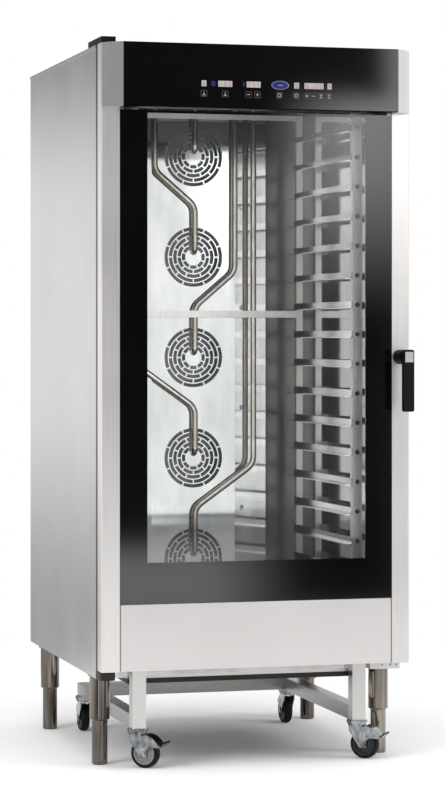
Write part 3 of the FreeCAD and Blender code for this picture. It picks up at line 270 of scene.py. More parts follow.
@dataclass(frozen=True)
class ClearGlass(Finish):
    """Float glass: most light goes straight through, with a faint mirror and a film over it."""

    mirror: float = 0.5
    film: float = 0.0

    def draw(self, tree: NodeTree, shader: Node) -> None:
        """Mix a clear sheet with a gloss that grows towards grazing angles and with a thin film.

        Gloss and film lie on its outer faces only. The mix takes the Principled shader's place.
        """
        output = tree.nodes["Material Output"]
        tree.nodes.remove(shader)
        where = add_node(tree, "ShaderNodeTexCoord").outputs["Object"]
        streaks = add_node(tree, "ShaderNodeTexNoise", {
            "Vector": where, "Scale": 1 / (self.cloud_mm * MM), "Detail": CLOUD_DETAIL,
        })
        tint = add_ramp(tree, streaks, (self.dark, self.light))
        clear = add_node(tree, "ShaderNodeBsdfTransparent", {"Color": tint})
        gloss = add_node(tree, "ShaderNodeBsdfAnisotropic", {"Roughness": self.roughness[0]})
        edge = add_node(tree, "ShaderNodeLayerWeight", {"Blend": MIRROR_BLEND})
        behind = add_node(tree, "ShaderNodeNewGeometry").outputs["Backfacing"]
        outside = add_sum(tree, "SUBTRACT", self.mirror, behind, use_clamp=True)
        share = add_sum(tree, "MULTIPLY", edge.outputs["Fresnel"], outside)
        mixed = add_node(tree, "ShaderNodeMixShader", {0: share, 1: clear, 2: gloss})
        if self.film:
            haze = add_node(tree, "ShaderNodeBsdfDiffuse", {"Color": linear(FILM_COLOUR)})
            front = add_sum(tree, "SUBTRACT", 1.0, behind)
            thin = add_sum(tree, "MULTIPLY", front, self.film)
            mixed = add_node(tree, "ShaderNodeMixShader", {0: thin, 1: mixed, 2: haze})
        set_inputs(tree, output, {"Surface": mixed})


@dataclass(frozen=True)
class LitMark(Finish):
    """A mark on the control glass that is lit from behind."""

    glow: float = 1.0

    def draw(self, tree: NodeTree, shader: Node) -> None:
        """Let the finish shine with its light colour."""
        super().draw(tree, shader)
        glow = {"Emission Color": linear(self.light), "Emission Strength": self.glow}
        set_inputs(tree, shader, glow)


# Stainless sheet brushed with a belt: long upright marks that smear what it mirrors.
BRUSHED_SHEET = Finish("brushed_stainless_sheet", "#c7c7c7", "#d7d7d7", (0.27, 0.38),
                       Grain.UPRIGHT.value, bump_mm=0.015, metallic=1.0)
# Door stile under a fine satin: paler and softer than the belt-brushed sheet, with a black line
# painted along its back edge as the shadow in the gap to the cabinet.
STILE_SHEET = SplitFinish("satin_stainless_stile", "#d3d0ce", "#e3e0de", (0.27, 0.36),
                          Grain.UPRIGHT.value, bump_mm=0.01, metallic=0.7, far_dark="#080808",
                          far_light="#131313", across=(0.0, 1.0, 0.0), beyond=-0.428, until=-0.4085)
# Satin sheet behind the door and at the back: a shade greyer than the stiles.
SATIN_SHEET = Finish("satin_stainless_sheet", "#b0adaa", "#cbc8c5", (0.3, 0.42),
                     Grain.UPRIGHT.value, bump_mm=0.012, metallic=1.0)
# The door's lower panel, brushed along its length: almost white under soft light, grey at its ends.
PALE_SHEET = SplitFinish("satin_stainless_panel", "#dcd8d7", "#e5e2e1", (0.35, 0.44),
                         Grain.ACROSS.value, bump_mm=0.008, metallic=1.0, far_dark="#77746f",
                         far_light="#8e8b87", across=(1.0, 0.0, 0.0), beyond=0.3797,
                         both_sides=True)
# The fascia's housing: black round its glass as painted shade for the shadow gap under the glass,
# so that no bright rim frames it, with bare ends.
FASCIA_SHEET = SplitFinish("brushed_stainless_fascia", "#0a0a0b", "#141415", (0.28, 0.38),
                           Grain.UPRIGHT.value, bump_mm=0.015, metallic=1.0, far_dark="#d3d1cf",
                           far_light="#e4e2e0", across=(1.0, 0.0, 0.0), beyond=0.3842,
                           both_sides=True)
# Bright-annealed stainless: nearly a mirror, with slow ripples from rolling.
BRIGHT_SHEET = Finish("bright_annealed_stainless", "#c9c9c9", "#e0e0df", (0.05, 0.1),
                      (60.0, 60.0, 160.0), bump_mm=0.02, metallic=1.0)
# The liner's smooth stainless: a greyer mirror than the baffle, so the racks stand out before it.
LINER_SHEET = Finish("smooth_stainless_liner", "#a9a9a8", "#c3c3c2", (0.05, 0.1),
                     (60.0, 60.0, 160.0), bump_mm=0.02, metallic=1.0)
# Sheet behind the baffle: a dull brown grey, painted shade for the little light that reaches it.
SHADE_DARKENED_SHEET = Finish("shade_darkened_rear_sheet", "#5d5a57", "#7d7975", (0.1, 0.2),
                      (40.0, 40.0, 120.0), bump_mm=0.02, metallic=1.0)
# Cold-rolled base sheet: dark in the oven's own shadow, with a pale lip along its top.
BASE_SHEET = SplitFinish("cold_rolled_base_sheet", "#2a2928", "#403f3d", (0.4, 0.55),
                         Grain.DEEP.value, bump_mm=0.02, metallic=1.0, far_dark="#c9c6c4",
                         far_light="#dddad8", beyond=0.236)
# Polished steel tube: painted reflections, dark and bright upright streaks in its colour, as a
# round mirror shows them.
POLISHED_TUBE = Finish("polished_steel_tube", "#3a3531", "#958d85", (0.06, 0.12),
                       (8.0, 8.0, 400.0), bump_mm=0.003, metallic=1.0)
# Satin rack uprights: a pale grey that spreads the light, slightly blotched from pickling.
UPRIGHT_SHEET = Finish("satin_rack_upright", "#c9c7c4", "#e2e0dd", (0.3, 0.42),
                       (4.0, 4.0, 60.0), bump_mm=0.01, metallic=0.75)
# Runner sheet as rolled: it throws back strips of the bright liner.
RACK_SHEET = Finish("bright_rack_sheet", "#bdbbb8", "#dbd9d6", (0.1, 0.2),
                    (4.0, 4.0, 30.0), bump_mm=0.015, metallic=1.0)
# Drawn and ground tube with an even grain: a mid grey as painted shade on the rails under the
# oven, and paler as painted light on the posts that face the camera.
DRAWN_TUBE = SplitFinish("drawn_stainless_tube", "#868483", "#aba9a7", (0.22, 0.36),
                         (3.0, 3.0, 3.0), bump_mm=0.015, metallic=1.0, far_dark="#bbb9b7",
                         far_light="#d8d6d4", across=(0.0, -1.0, 0.0), beyond=0.3645)
# Bent stainless pipe, warmed to a straw colour by the oven's heat.
WARM_PIPE = Finish("heat_tinted_pipe", "#a1988e", "#c6beb5", (0.12, 0.22),
                   (12.0, 12.0, 40.0), bump_mm=0.02, metallic=1.0)
# Heater sheath, dark and dry from glowing.
HEATER_SHEATH = Finish("oxidised_heater_sheath", "#3a3431", "#57504b", (0.5, 0.65),
                       (6.0, 6.0, 6.0), bump_mm=0.03, metallic=1.0)
# Fan steel: a plain satin grey that stays dim behind the guards.
FAN_SHEET = Finish("satin_fan_steel", "#6d6d6c", "#8d8d8c", (0.35, 0.5),
                   (4.0, 4.0, 4.0), bump_mm=0.02, metallic=1.0)
# Zinc-plated pressings: painted reflections, dark and bright patches in their colour, as small
# bent mirrors show them.
ZINC_PLATE = Finish("zinc_plated_pressing", "#1d1f21", "#b4b7ba", (0.06, 0.14),
                    (15.0, 15.0, 30.0), bump_mm=0.01, metallic=1.0)
# Machined steel: fine tool marks that leave a soft grey shine.
HINGE_STEEL = Finish("machined_steel", "#8b8a88", "#aaa9a7", (0.28, 0.4),
                     (1.2, 1.2, 8.0), bump_mm=0.01, metallic=1.0)
# Blackened hinge steel: a dark oxide that dulls the shine.
BLACKED_STEEL = Finish("black_oxide_steel", "#2b2a29", "#3f3d3b", (0.35, 0.5),
                       (3.0, 3.0, 3.0), bump_mm=0.02, metallic=1.0)
# Turned brass: warm yellow, with the fine rings that the tool leaves.
TURNED_BRASS = Finish("turned_brass", "#a98b4b", "#cdb06a", (0.2, 0.32),
                      (20.0, 1.2, 20.0), bump_mm=0.01, metallic=1.0)
# Satin aluminium: a cool pale stripe along the black handle.
SATIN_ALUMINIUM = Finish("satin_aluminium", "#c3c4c5", "#dcdddd", (0.3, 0.4),
                         (1.2, 30.0, 30.0), bump_mm=0.01, metallic=1.0)
# Moulded polyamide: black, with a fine spark-eroded grain that is drawn coarse enough to show.
GRAINED_PLASTIC = Finish("moulded_black_polyamide", "#070708", "#0e0e10", (0.42, 0.55),
                         (1.4, 1.4, 1.4), bump_mm=0.05, specular=0.15)
# Zinc-plated brake pedals with the same painted reflection patches as the other pressings, each
# with a black tongue.
PEDAL_LEFT = SplitFinish("zinc_plated_pedal_left", "#1d1f21", "#b4b7ba", (0.1, 0.18),
                         (15.0, 15.0, 30.0), bump_mm=0.01, metallic=1.0, far_dark="#131314",
                         far_light="#222224", across=(0.766, -0.643, 0.0), beyond=0.083)
PEDAL_RIGHT = replace(PEDAL_LEFT, name="zinc_plated_pedal_right", beyond=0.561)
# Silicone gasket: dull black with a dusty bloom.
SILICONE = Finish("extruded_silicone", "#141414", "#232323", (0.6, 0.75),
                  (5.0, 5.0, 5.0), bump_mm=0.05, specular=0.3)
# Tyre tread of cast polyurethane, black and dull where it has rolled.
TYRE = Finish("cast_polyurethane_tyre", "#060607", "#111112", (0.5, 0.68),
              (3.0, 3.0, 3.0), bump_mm=0.08, specular=0.2)
# Hub of moulded polypropylene: a pale grey disc inside the black tyre.
PALE_HUB = Finish("moulded_grey_polypropylene", "#6f6f70", "#8d8d8d", (0.4, 0.52),
                  (4.0, 4.0, 4.0), bump_mm=0.03, specular=0.4)
# The other hubs, the same part painted nearly black as shade: hardly paler than their tyres.
SHADED_HUB = Finish("shade_darkened_hub_polypropylene", "#17171a", "#26262a", (0.38, 0.5),
                  (4.0, 4.0, 4.0), bump_mm=0.03, specular=0.4)
# Mineral wool: matted yellow fibres.
MINERAL_WOOL = Finish("mineral_wool", "#a89a70", "#cfc29a", (0.85, 0.95),
                      (2.5, 2.5, 14.0), bump_mm=0.8, specular=0.1)
# Motor paint: dark grey, slightly orange-peeled.
MOTOR_PAINT = Finish("motor_enamel", "#25272b", "#363a40", (0.35, 0.48),
                     (3.0, 3.0, 3.0), bump_mm=0.04)
# Solder mask of the control board: an even green with a low shine.
SOLDER_MASK = Finish("green_solder_mask", "#12502c", "#1d6b3d", (0.3, 0.42),
                     (2.0, 2.0, 2.0), bump_mm=0.02)
# Float glass printed black on its back: deep black with a clean shine.
BLACK_GLASS = Finish("black_printed_glass", "#040404", "#070707", (0.05, 0.09),
                     (400.0, 400.0, 400.0))
# Clear float glass: it hardly tints what lies behind it and mirrors the studio at a slant.
CLEAR_PANE = ClearGlass("clear_float_glass", "#f9fafa", "#fcfdfd", (0.03, 0.03), cloud_mm=700.0,
                        mirror=1.0)
# The inner pane: a weaker mirror, under a thin film that greys what lies behind it.
INNER_PANE = ClearGlass("clear_inner_glass", "#fafbfb", "#fdfdfd", (0.03, 0.03), cloud_mm=700.0,
                        mirror=0.2, film=0.04)
# Diode displays behind diffusing plastic: a pinkish grey field with redder segments.
LIT_WINDOW = LitMark("lit_diffuser_plastic", "#8f8887", "#a9a1a0", (0.4, 0.5), glow=0.15)
RED_SEGMENT = LitMark("red_diode_segment", "#7a4a48", "#945f5d", (0.4, 0.5), glow=0.1)
# Acrylic lenses: deep blue with a paler moulded rim.
BLUE_LIGHT = LitMark("blue_acrylic_lens", "#0b0f36", "#131856", (0.2, 0.3), glow=0.12)
BLUE_RIM = LitMark("pale_blue_lens_rim", "#464d7e", "#666ea2", (0.3, 0.4), glow=0.1)
# Screen print on the control glass: whitish signs in dim grey frames.
WHITE_PRINT = LitMark("white_key_print", "#767676", "#9a9a9a", (0.5, 0.6), glow=0.1)
GREY_PRINT = LitMark("grey_key_print", "#2c2c2c", "#3e3e3e", (0.5, 0.6), glow=0.05)

NODE_FINISHES: dict[Finish, tuple[str, ...]] = {
    BRUSHED_SHEET: ("side_panels", "top_panel", "rear_panel", "front_header"),
    STILE_SHEET: ("door_stiles",),
    SATIN_SHEET: ("door_back_frame", "exhaust_chimney", "drain_outlet"),
    PALE_SHEET: ("door_lower_panel",),
    FASCIA_SHEET: ("fascia_housing",),
    BRIGHT_SHEET: ("fan_baffle", "baffle_studs"),
    LINER_SHEET: ("cavity_liner",),
    SHADE_DARKENED_SHEET: ("cavity_rear_wall",),
    BASE_SHEET: ("base_pan",),
    POLISHED_TUBE: ("leg_sleeves", *(f"foot_{corner}" for corner in CORNERS)),
    DRAWN_TUBE: ("trolley_frame", "trolley_deck"),
    UPRIGHT_SHEET: ("rack_uprights", "rack_crossbars"),
    RACK_SHEET: ("left_tray_runners", "right_tray_runners"),
    WARM_PIPE: ("injector_pipes",),
    HEATER_SHEATH: ("heating_elements",),
    FAN_SHEET: tuple(f"fan_wheel_{number}" for number in range(1, 6)),
    ZINC_PLATE: ("caster_heads", *(f"caster_fork_{corner}" for corner in CORNERS)),
    HINGE_STEEL: ("top_hinge_bracket", "latch_spindle", "latch_keeper"),
    BLACKED_STEEL: ("bottom_hinge_bracket",),
    TURNED_BRASS: ("water_inlet",),
    SATIN_ALUMINIUM: ("handle_insert",),
    GRAINED_PLASTIC: ("top_hinge_cap", "handle_grip", "cable_gland"),
    PEDAL_LEFT: ("brake_pedal_front_left",),
    PEDAL_RIGHT: ("brake_pedal_front_right",),
    SILICONE: ("door_gasket",),
    MINERAL_WOOL: ("insulation",),
    MOTOR_PAINT: ("fan_motors",),
    SOLDER_MASK: ("control_board",),
    BLACK_GLASS: ("fascia_glass", "door_outer_glass"),
    INNER_PANE: ("door_inner_glass",),
    TYRE: tuple(f"caster_wheel_{corner}" for corner in CORNERS),
}


def make_piece(name: str, mesh: BMesh, finish: Finish, body: str,
               smooth: bool = False) -> Object:
    """Turn a built mesh into a finished piece that rides on a body.

    Args:
        name: the piece's name.
        mesh: its faces, in place, in metres.
        finish: what it is made of.
        body: the body that it moves with.
        smooth: whether its faces are shaded as one curved surface.

    Returns:
        The new object.
    """
    bmesh.ops.recalc_face_normals(mesh, faces=mesh.faces)
    for face in mesh.faces:
        face.smooth = smooth
    data = bpy.data.meshes.new(name)
    mesh.to_mesh(data)
    mesh.free()
    data.materials.append(finish.material())
    piece = link_object(name, data)
    if smooth:
        data.set_sharp_from_angle(angle=SMOOTH_LIMIT)
    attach(piece, body)
    LOG.info("%s rides on %s in %s", name, body, finish.name)
    return piece


def add_block(mesh: BMesh, low: Point, high: Point) -> None:
    """Add a block.

    Args:
        mesh: the mesh that takes it.
        low: its lowest corner.
        high: its highest corner.
    """
    size = Vector(high) - Vector(low)
    middle = (Vector(high) + Vector(low)) / 2
    place = Matrix.Translation(middle) @ Matrix.Diagonal((*size, 1.0))
    bmesh.ops.create_cube(mesh, size=1.0, matrix=place)


def add_lathe(mesh: BMesh, profile: Sequence[Pair], centre: Point, axis: Vector,
              segments: int = 48) -> None:
    """Add a closed ring turned about an axis.

    Args:
        mesh: the mesh that takes it.
        profile: corners of the section, as radius and distance along the axis.
        centre: the point on the axis that the distances start from.
        axis: the axis' direction.
        segments: how many steps one turn has.
    """
    turn = axis.to_track_quat("Z", "Y").to_matrix()
    rings = []
    for step in range(segments):
        angle = math.tau * step / segments
        ray = Vector((math.cos(angle), math.sin(angle), 0))
        rings.append([
            mesh.verts.new(Vector(centre) + turn @ (ray * radius + Vector((0, 0, along))))
            for radius, along in profile
        ])
    count = len(profile)
    for step, ring in enumerate(rings):
        following = rings[(step + 1) % segments]
        for index in range(count):
            after = (index + 1) % count
            mesh.faces.new((ring[index], following[index], following[after], ring[after]))


@dataclass
class DoorGlass:
    """The door's outer pane: a black printed border round a clear window."""

    window_half: float = 307 * MM
    window_bottom: float = 560 * MM
    window_top: float = 1765 * MM

    def build(self) -> None:
        """Make the border and the window as two sheets that fill the CAD pane's place."""
        low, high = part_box("door_outer_glass")
        inner = (-self.window_half, self.window_half, self.window_bottom, self.window_top)
        border = bmesh.new()
        for left, right, bottom, top in (
            (low.x, inner[0], low.z, high.z),
            (inner[1], high.x, low.z, high.z),
            (inner[0], inner[1], low.z, inner[2]),
            (inner[0], inner[1], inner[3], high.z),
        ):
            add_block(border, (left, low.y, bottom), (right, high.y, top))
        piece = make_piece("door_glass_border", border, BLACK_GLASS, "door")
        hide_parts("door_outer_glass")
        window = bmesh.new()
        add_block(window, (inner[0], low.y, inner[2]), (inner[1], high.y, inner[3]))
        make_piece("door_glass_window", window, CLEAR_PANE, "door")


# The bars of a digit by their usual letters, clockwise from the top with the middle one last, as
# their middle and half size in digit widths and heights, and the bars that each digit lights.
SEGMENTS: dict[str, tuple[float, ...]] = {
    "a": (0.5, 1.0, 0.38, 0.05), "b": (1.0, 0.75, 0.09, 0.2), "c": (1.0, 0.25, 0.09, 0.2),
    "d": (0.5, 0.0, 0.38, 0.05), "e": (0.0, 0.25, 0.09, 0.2), "f": (0.0, 0.75, 0.09, 0.2),
    "g": (0.5, 0.5, 0.38, 0.05),
}
DIGIT_BARS = {"0": "adfbec", "1": "bc", "3": "agdbc", "5": "agdfc", "8": "agdfbec"}


class Key(Enum):
    """The plain signs printed over the touch keys."""

    PLUS = "plus"
    MINUS = "minus"
    DOWN = "down"
    RING = "ring"
    STOP = "stop"


@dataclass
class ControlFascia:
    """The lit displays and printed keys, which lie on the control glass, in millimetres."""

    row_height: float = 1842.0
    key_height: float = 1815.0
    window_height: float = 16.0
    digit_height: float = 10.0
    digit_width: float = 5.0
    depth: float = 0.25
    # Left end, right end and digits of each display.
    displays: tuple[tuple[float, float, str], ...] = (
        (-171.0, -157.6, "8"), (-125.0, -86.0, "180"), (-46.0, -7.0, "035"),
        (87.0, 101.0, "8"), (116.0, 170.0, "0100"), (181.0, 193.0, "5"),
    )
    # Middle, half width and half height of the large lens, its rim's widths and the bar on it.
    lens: tuple[float, float, float] = (48.0, 25.0, 12.0)
    lens_rim: Pair = (2.6, 2.0)
    lens_bar: Pair = (7.0, 1.6)
    lens_sides: int = 32
    lens_taper: float = 0.9
    # Middle and half width of each small lens, and their half height.
    dots: tuple[Pair, ...] = ((-138.0, 7.0), (-54.0, 2.4))
    dot_half: float = 7.4
    # Middle and sign of each key.
    keys: tuple[tuple[float, Key], ...] = (
        (-164.6, Key.DOWN), (-105.7, Key.DOWN), (-41.0, Key.MINUS), (-16.0, Key.PLUS),
        (45.6, Key.RING), (93.0, Key.RING), (122.6, Key.PLUS), (142.0, Key.MINUS),
        (163.0, Key.STOP), (185.6, Key.STOP),
    )
    frame_half: float = 8.0
    frame_line: float = 0.7
    sign_half: float = 4.0
    sign_line: float = 1.0
    # The front of the control glass, in metres, found when the fascia is built.
    front: float = field(init=False, default=0.0)

    def build(self) -> None:
        """Make the lit windows, their digits, the lenses and the key signs."""
        self.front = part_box("fascia_glass")[0].y
        windows, digits, rims, lenses, frames, signs = (bmesh.new() for _ in range(6))
        for left, right, text in self.displays:
            self.add_number(windows, digits, left, right, text)
        x, half_x, half_z = self.lens
        rim_x, rim_z = self.lens_rim
        self.add_disc(rims, x, half_x, half_z)
        self.add_disc(lenses, x, half_x - rim_x, half_z - rim_z, self.depth)
        self.add_bar(rims, x, self.row_height, *self.lens_bar, lift=2 * self.depth)
        for middle, half in self.dots:
            self.add_disc(lenses, middle, half, self.dot_half)
        for middle, key in self.keys:
            self.add_frame(frames, middle)
            self.add_sign(signs, middle, key)
        for name, mesh, finish in (
            ("display_windows", windows, LIT_WINDOW), ("display_digits", digits, RED_SEGMENT),
            ("lens_rims", rims, BLUE_RIM), ("indicator_lenses", lenses, BLUE_LIGHT),
            ("key_frames", frames, GREY_PRINT), ("key_signs", signs, WHITE_PRINT),
        ):
            make_piece(name, mesh, finish, "door")

    def add_bar(self, mesh: BMesh, x: float, z: float, half_x: float, half_z: float,
                lift: float = 0.0) -> None:
        """Lay a thin bar on the control glass.

        Args:
            mesh: the mesh that takes it.
            x: its middle across.
            z: its middle height.
            half_x: half its width.
            half_z: half its height.
            lift: how far its back stands off the glass.
        """
        back = self.front - lift * MM
        add_block(mesh, ((x - half_x) * MM, back - self.depth * MM, (z - half_z) * MM),
                  ((x + half_x) * MM, back, (z + half_z) * MM))

    def add_number(self, windows: BMesh, digits: BMesh, left: float, right: float,
                   text: str) -> None:
        """Lay a lit window with the segments of its digits over it.

        Args:
            windows: the mesh of the windows.
            digits: the mesh of the segments.
            left: the window's left end.
            right: its right end.
            text: its digits.
        """
        self.add_bar(windows, (left + right) / 2, self.row_height, (right - left) / 2,
                     self.window_height / 2)
        pitch = (right - left) / len(text)
        bottom = self.row_height - self.digit_height / 2
        for place, letter in enumerate(text):
            start = left + (place + 0.5) * pitch - self.digit_width / 2
            for bar in DIGIT_BARS[letter]:
                across, up, half_across, half_up = SEGMENTS[bar]
                self.add_bar(
                    digits, start + across * self.digit_width, bottom + up * self.digit_height,
                    half_across * self.digit_width, half_up * self.digit_height, self.depth,
                )

    def add_disc(self, mesh: BMesh, x: float, half_x: float, half_z: float,
                 lift: float = 0.0) -> None:
        """Lay an oval lens on the control glass, in the row of the displays.

        Args:
            mesh: the mesh that takes it.
            x: its middle across.
            half_x: half its width.
            half_z: half its height.
            lift: how far its back stands off the glass.
        """
        middle = self.front - (lift + self.depth / 2) * MM
        place = Matrix.Translation((x * MM, middle, self.row_height * MM))
        stretch = Matrix.Diagonal((half_x * MM, 1.0, half_z * MM, 1.0))
        turned = place @ stretch @ Matrix.Rotation(math.radians(90), 4, "X")
        bmesh.ops.create_cone(mesh, cap_ends=True, segments=self.lens_sides, radius1=1.0,
                              radius2=self.lens_taper, depth=self.depth * MM, matrix=turned)

    def add_frame(self, mesh: BMesh, x: float) -> None:
        """Print the thin frame round one key.

        Args:
            mesh: the mesh that takes it.
            x: the key's middle across.
        """
        half, thin = self.frame_half, self.frame_line
        for side in (-1, 1):
            self.add_bar(mesh, x + side * half, self.key_height, thin, half)
            self.add_bar(mesh, x, self.key_height + side * half, half - thin, thin)

    def add_sign(self, mesh: BMesh, x: float, key: Key) -> None:
        """Print one key's sign.

        Args:
            mesh: the mesh that takes it.
            x: its middle across.
            key: which sign it is.
        """
        long, thin = self.sign_half, self.sign_line
        z = self.key_height
        if key in (Key.PLUS, Key.MINUS):
            self.add_bar(mesh, x, z, long, thin)
        if key in (Key.PLUS, Key.DOWN, Key.STOP):
            self.add_bar(mesh, x, z, thin, long, 0.0 if key is Key.DOWN else self.depth)
        if key in (Key.DOWN, Key.STOP):
            self.add_bar(mesh, x, z - long, long, thin, self.depth)
        if key is Key.STOP:
            self.add_bar(mesh, x, z + long, long, thin)
        if key is Key.RING:
            for side in (-1, 1):
                self.add_bar(mesh, x + side * long, z, thin, long)
                self.add_bar(mesh, x, z + side * long, long, thin, self.depth)


@dataclass
class CasterWheel:
    """A caster wheel: a rounded tyre on a dished hub."""

    corner: str
    along: Vector
    hub: Finish
    radius: float = 40 * MM
    rim: float = 31 * MM
    half_width: float = 12.5 * MM
    crown: float = 6 * MM
    crown_steps: int = 6
    lip: float = 1 * MM
    bore: float = 4.6 * MM
    boss_half: float = 12 * MM
    hub_half: float = 11 * MM
    # The dish between boss and rim, as radius and half width in millimetres.
    dish: tuple[Pair, ...] = ((11.0, 12.0), (13.0, 9.0), (24.0, 7.0), (27.0, 10.5))

    def build(self) -> None:
        """Make the tyre and the hub in the place of the CAD wheel."""
        node = f"caster_wheel_{self.corner}"
        body = f"wheel_{self.corner}"
        low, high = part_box(node)
        centre = tuple((low + high) / 2)
        half, rim, crown = self.half_width, self.rim, self.crown
        steps = range(self.crown_steps + 1)
        angles = [math.radians(90 * step / self.crown_steps) for step in steps]
        shoulder = [(self.radius - crown + crown * math.sin(angle),
                     half - crown + crown * math.cos(angle)) for angle in angles]
        profile = [(rim, -half + self.lip), *[(r, -a) for r, a in shoulder], *reversed(shoulder),
                   (rim, half - self.lip)]
        tyre = bmesh.new()
        add_lathe(tyre, profile, centre, self.along)
        piece = make_piece(f"tyre_{self.corner}", tyre, TYRE, body, smooth=True)
        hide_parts(node)
        face = [(self.bore, self.boss_half), *[(r * MM, a * MM) for r, a in self.dish],
                (rim, self.hub_half)]
        hub = bmesh.new()
        add_lathe(hub, [(r, -a) for r, a in face] + list(reversed(face)), centre, self.along)
        make_piece(f"hub_{self.corner}", hub, self.hub, body, smooth=True)


@dataclass
class Fasteners:
    """Screw heads of one size on one body, set out by a node tree."""

    name: str
    slot: str
    finish: Finish
    places: list[Point]
    outward: Vector
    radius: float
    height: float
    body: str = "cabinet"

    @staticmethod
    def tree() -> NodeTree:
        """Build the node tree once: a tapered head with a six-sided recess, copied to every point.

        Returns:
            The shared tree.
        """
        found = bpy.data.node_groups.get("fastener_set")
        if found:
            return found
        tree = bpy.data.node_groups.new("fastener_set", "GeometryNodeTree")
        for label, kind, way in (
            ("Geometry", "NodeSocketGeometry", "INPUT"),
            ("Head Radius", "NodeSocketFloat", "INPUT"),
            ("Head Height", "NodeSocketFloat", "INPUT"),
            ("Turn", "NodeSocketRotation", "INPUT"),
            ("Finish", "NodeSocketMaterial", "INPUT"),
            ("Geometry", "NodeSocketGeometry", "OUTPUT"),
        ):
            tree.interface.new_socket(label, in_out=way, socket_type=kind)
        given = add_node(tree, "NodeGroupInput").outputs
        radius, height = given["Head Radius"], given["Head Height"]
        top = add_sum(tree, "MULTIPLY", radius, TOP_SHARE)
        key = add_sum(tree, "MULTIPLY", radius, RECESS_SHARE)
        head = add_node(tree, "GeometryNodeMeshCone", {
            "Vertices": HEAD_SIDES, "Radius Top": top, "Radius Bottom": radius, "Depth": height,
        })
        recess = add_node(tree, "GeometryNodeMeshCylinder",
                          {"Vertices": RECESS_SIDES, "Radius": key, "Depth": height})
        lift = add_node(tree, "ShaderNodeCombineXYZ", {"Z": height})
        raised = add_node(tree, "GeometryNodeTransform", {"Geometry": recess, "Translation": lift})
        hollow = add_node(tree, "GeometryNodeMeshBoolean", {0: head, 1: raised},
                          operation="DIFFERENCE", solver="EXACT")
        points = add_node(tree, "GeometryNodeMeshToPoints", {"Mesh": given["Geometry"]})
        copies = add_node(tree, "GeometryNodeInstanceOnPoints",
                          {"Points": points, "Instance": hollow, "Rotation": given["Turn"]})
        solid = add_node(tree, "GeometryNodeRealizeInstances", {0: copies})
        dressed = add_node(tree, "GeometryNodeSetMaterial",
                           {"Geometry": solid, "Material": given["Finish"]})
        add_node(tree, "NodeGroupOutput", {"Geometry": dressed})
        return tree

    def build(self) -> None:
        """Run the tree over the places and keep its result as a plain mesh."""
        tree = self.tree()
        seeds = bpy.data.meshes.new(self.name + "_places")
        seeds.from_pydata([Vector(place) for place in self.places], [], [])
        maker = link_object(self.name + "_maker", seeds)
        modifier = maker.modifiers.new("fasteners", "NODES")
        modifier.node_group = tree
        values = {"Head Radius": self.radius, "Head Height": self.height,
                  "Finish": self.finish.material(),
                  "Turn": self.outward.to_track_quat("Z", "Y").to_euler()}
        for socket in tree.interface.items_tree:
            if socket.in_out == "INPUT" and socket.name in values:
                modifier[socket.identifier] = values[socket.name]
        maker.update_tag()
        finished = maker.evaluated_get(bpy.context.evaluated_depsgraph_get())
        data = bpy.data.meshes.new_from_object(finished)
        data.name = self.name
        maker.modifiers.remove(modifier)
        bpy.data.objects.remove(maker)
        piece = link_object(self.name, data)
        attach(piece, self.body)
        LOG.info("%s rides on %s with %d heads", self.name, self.body, len(self.places))


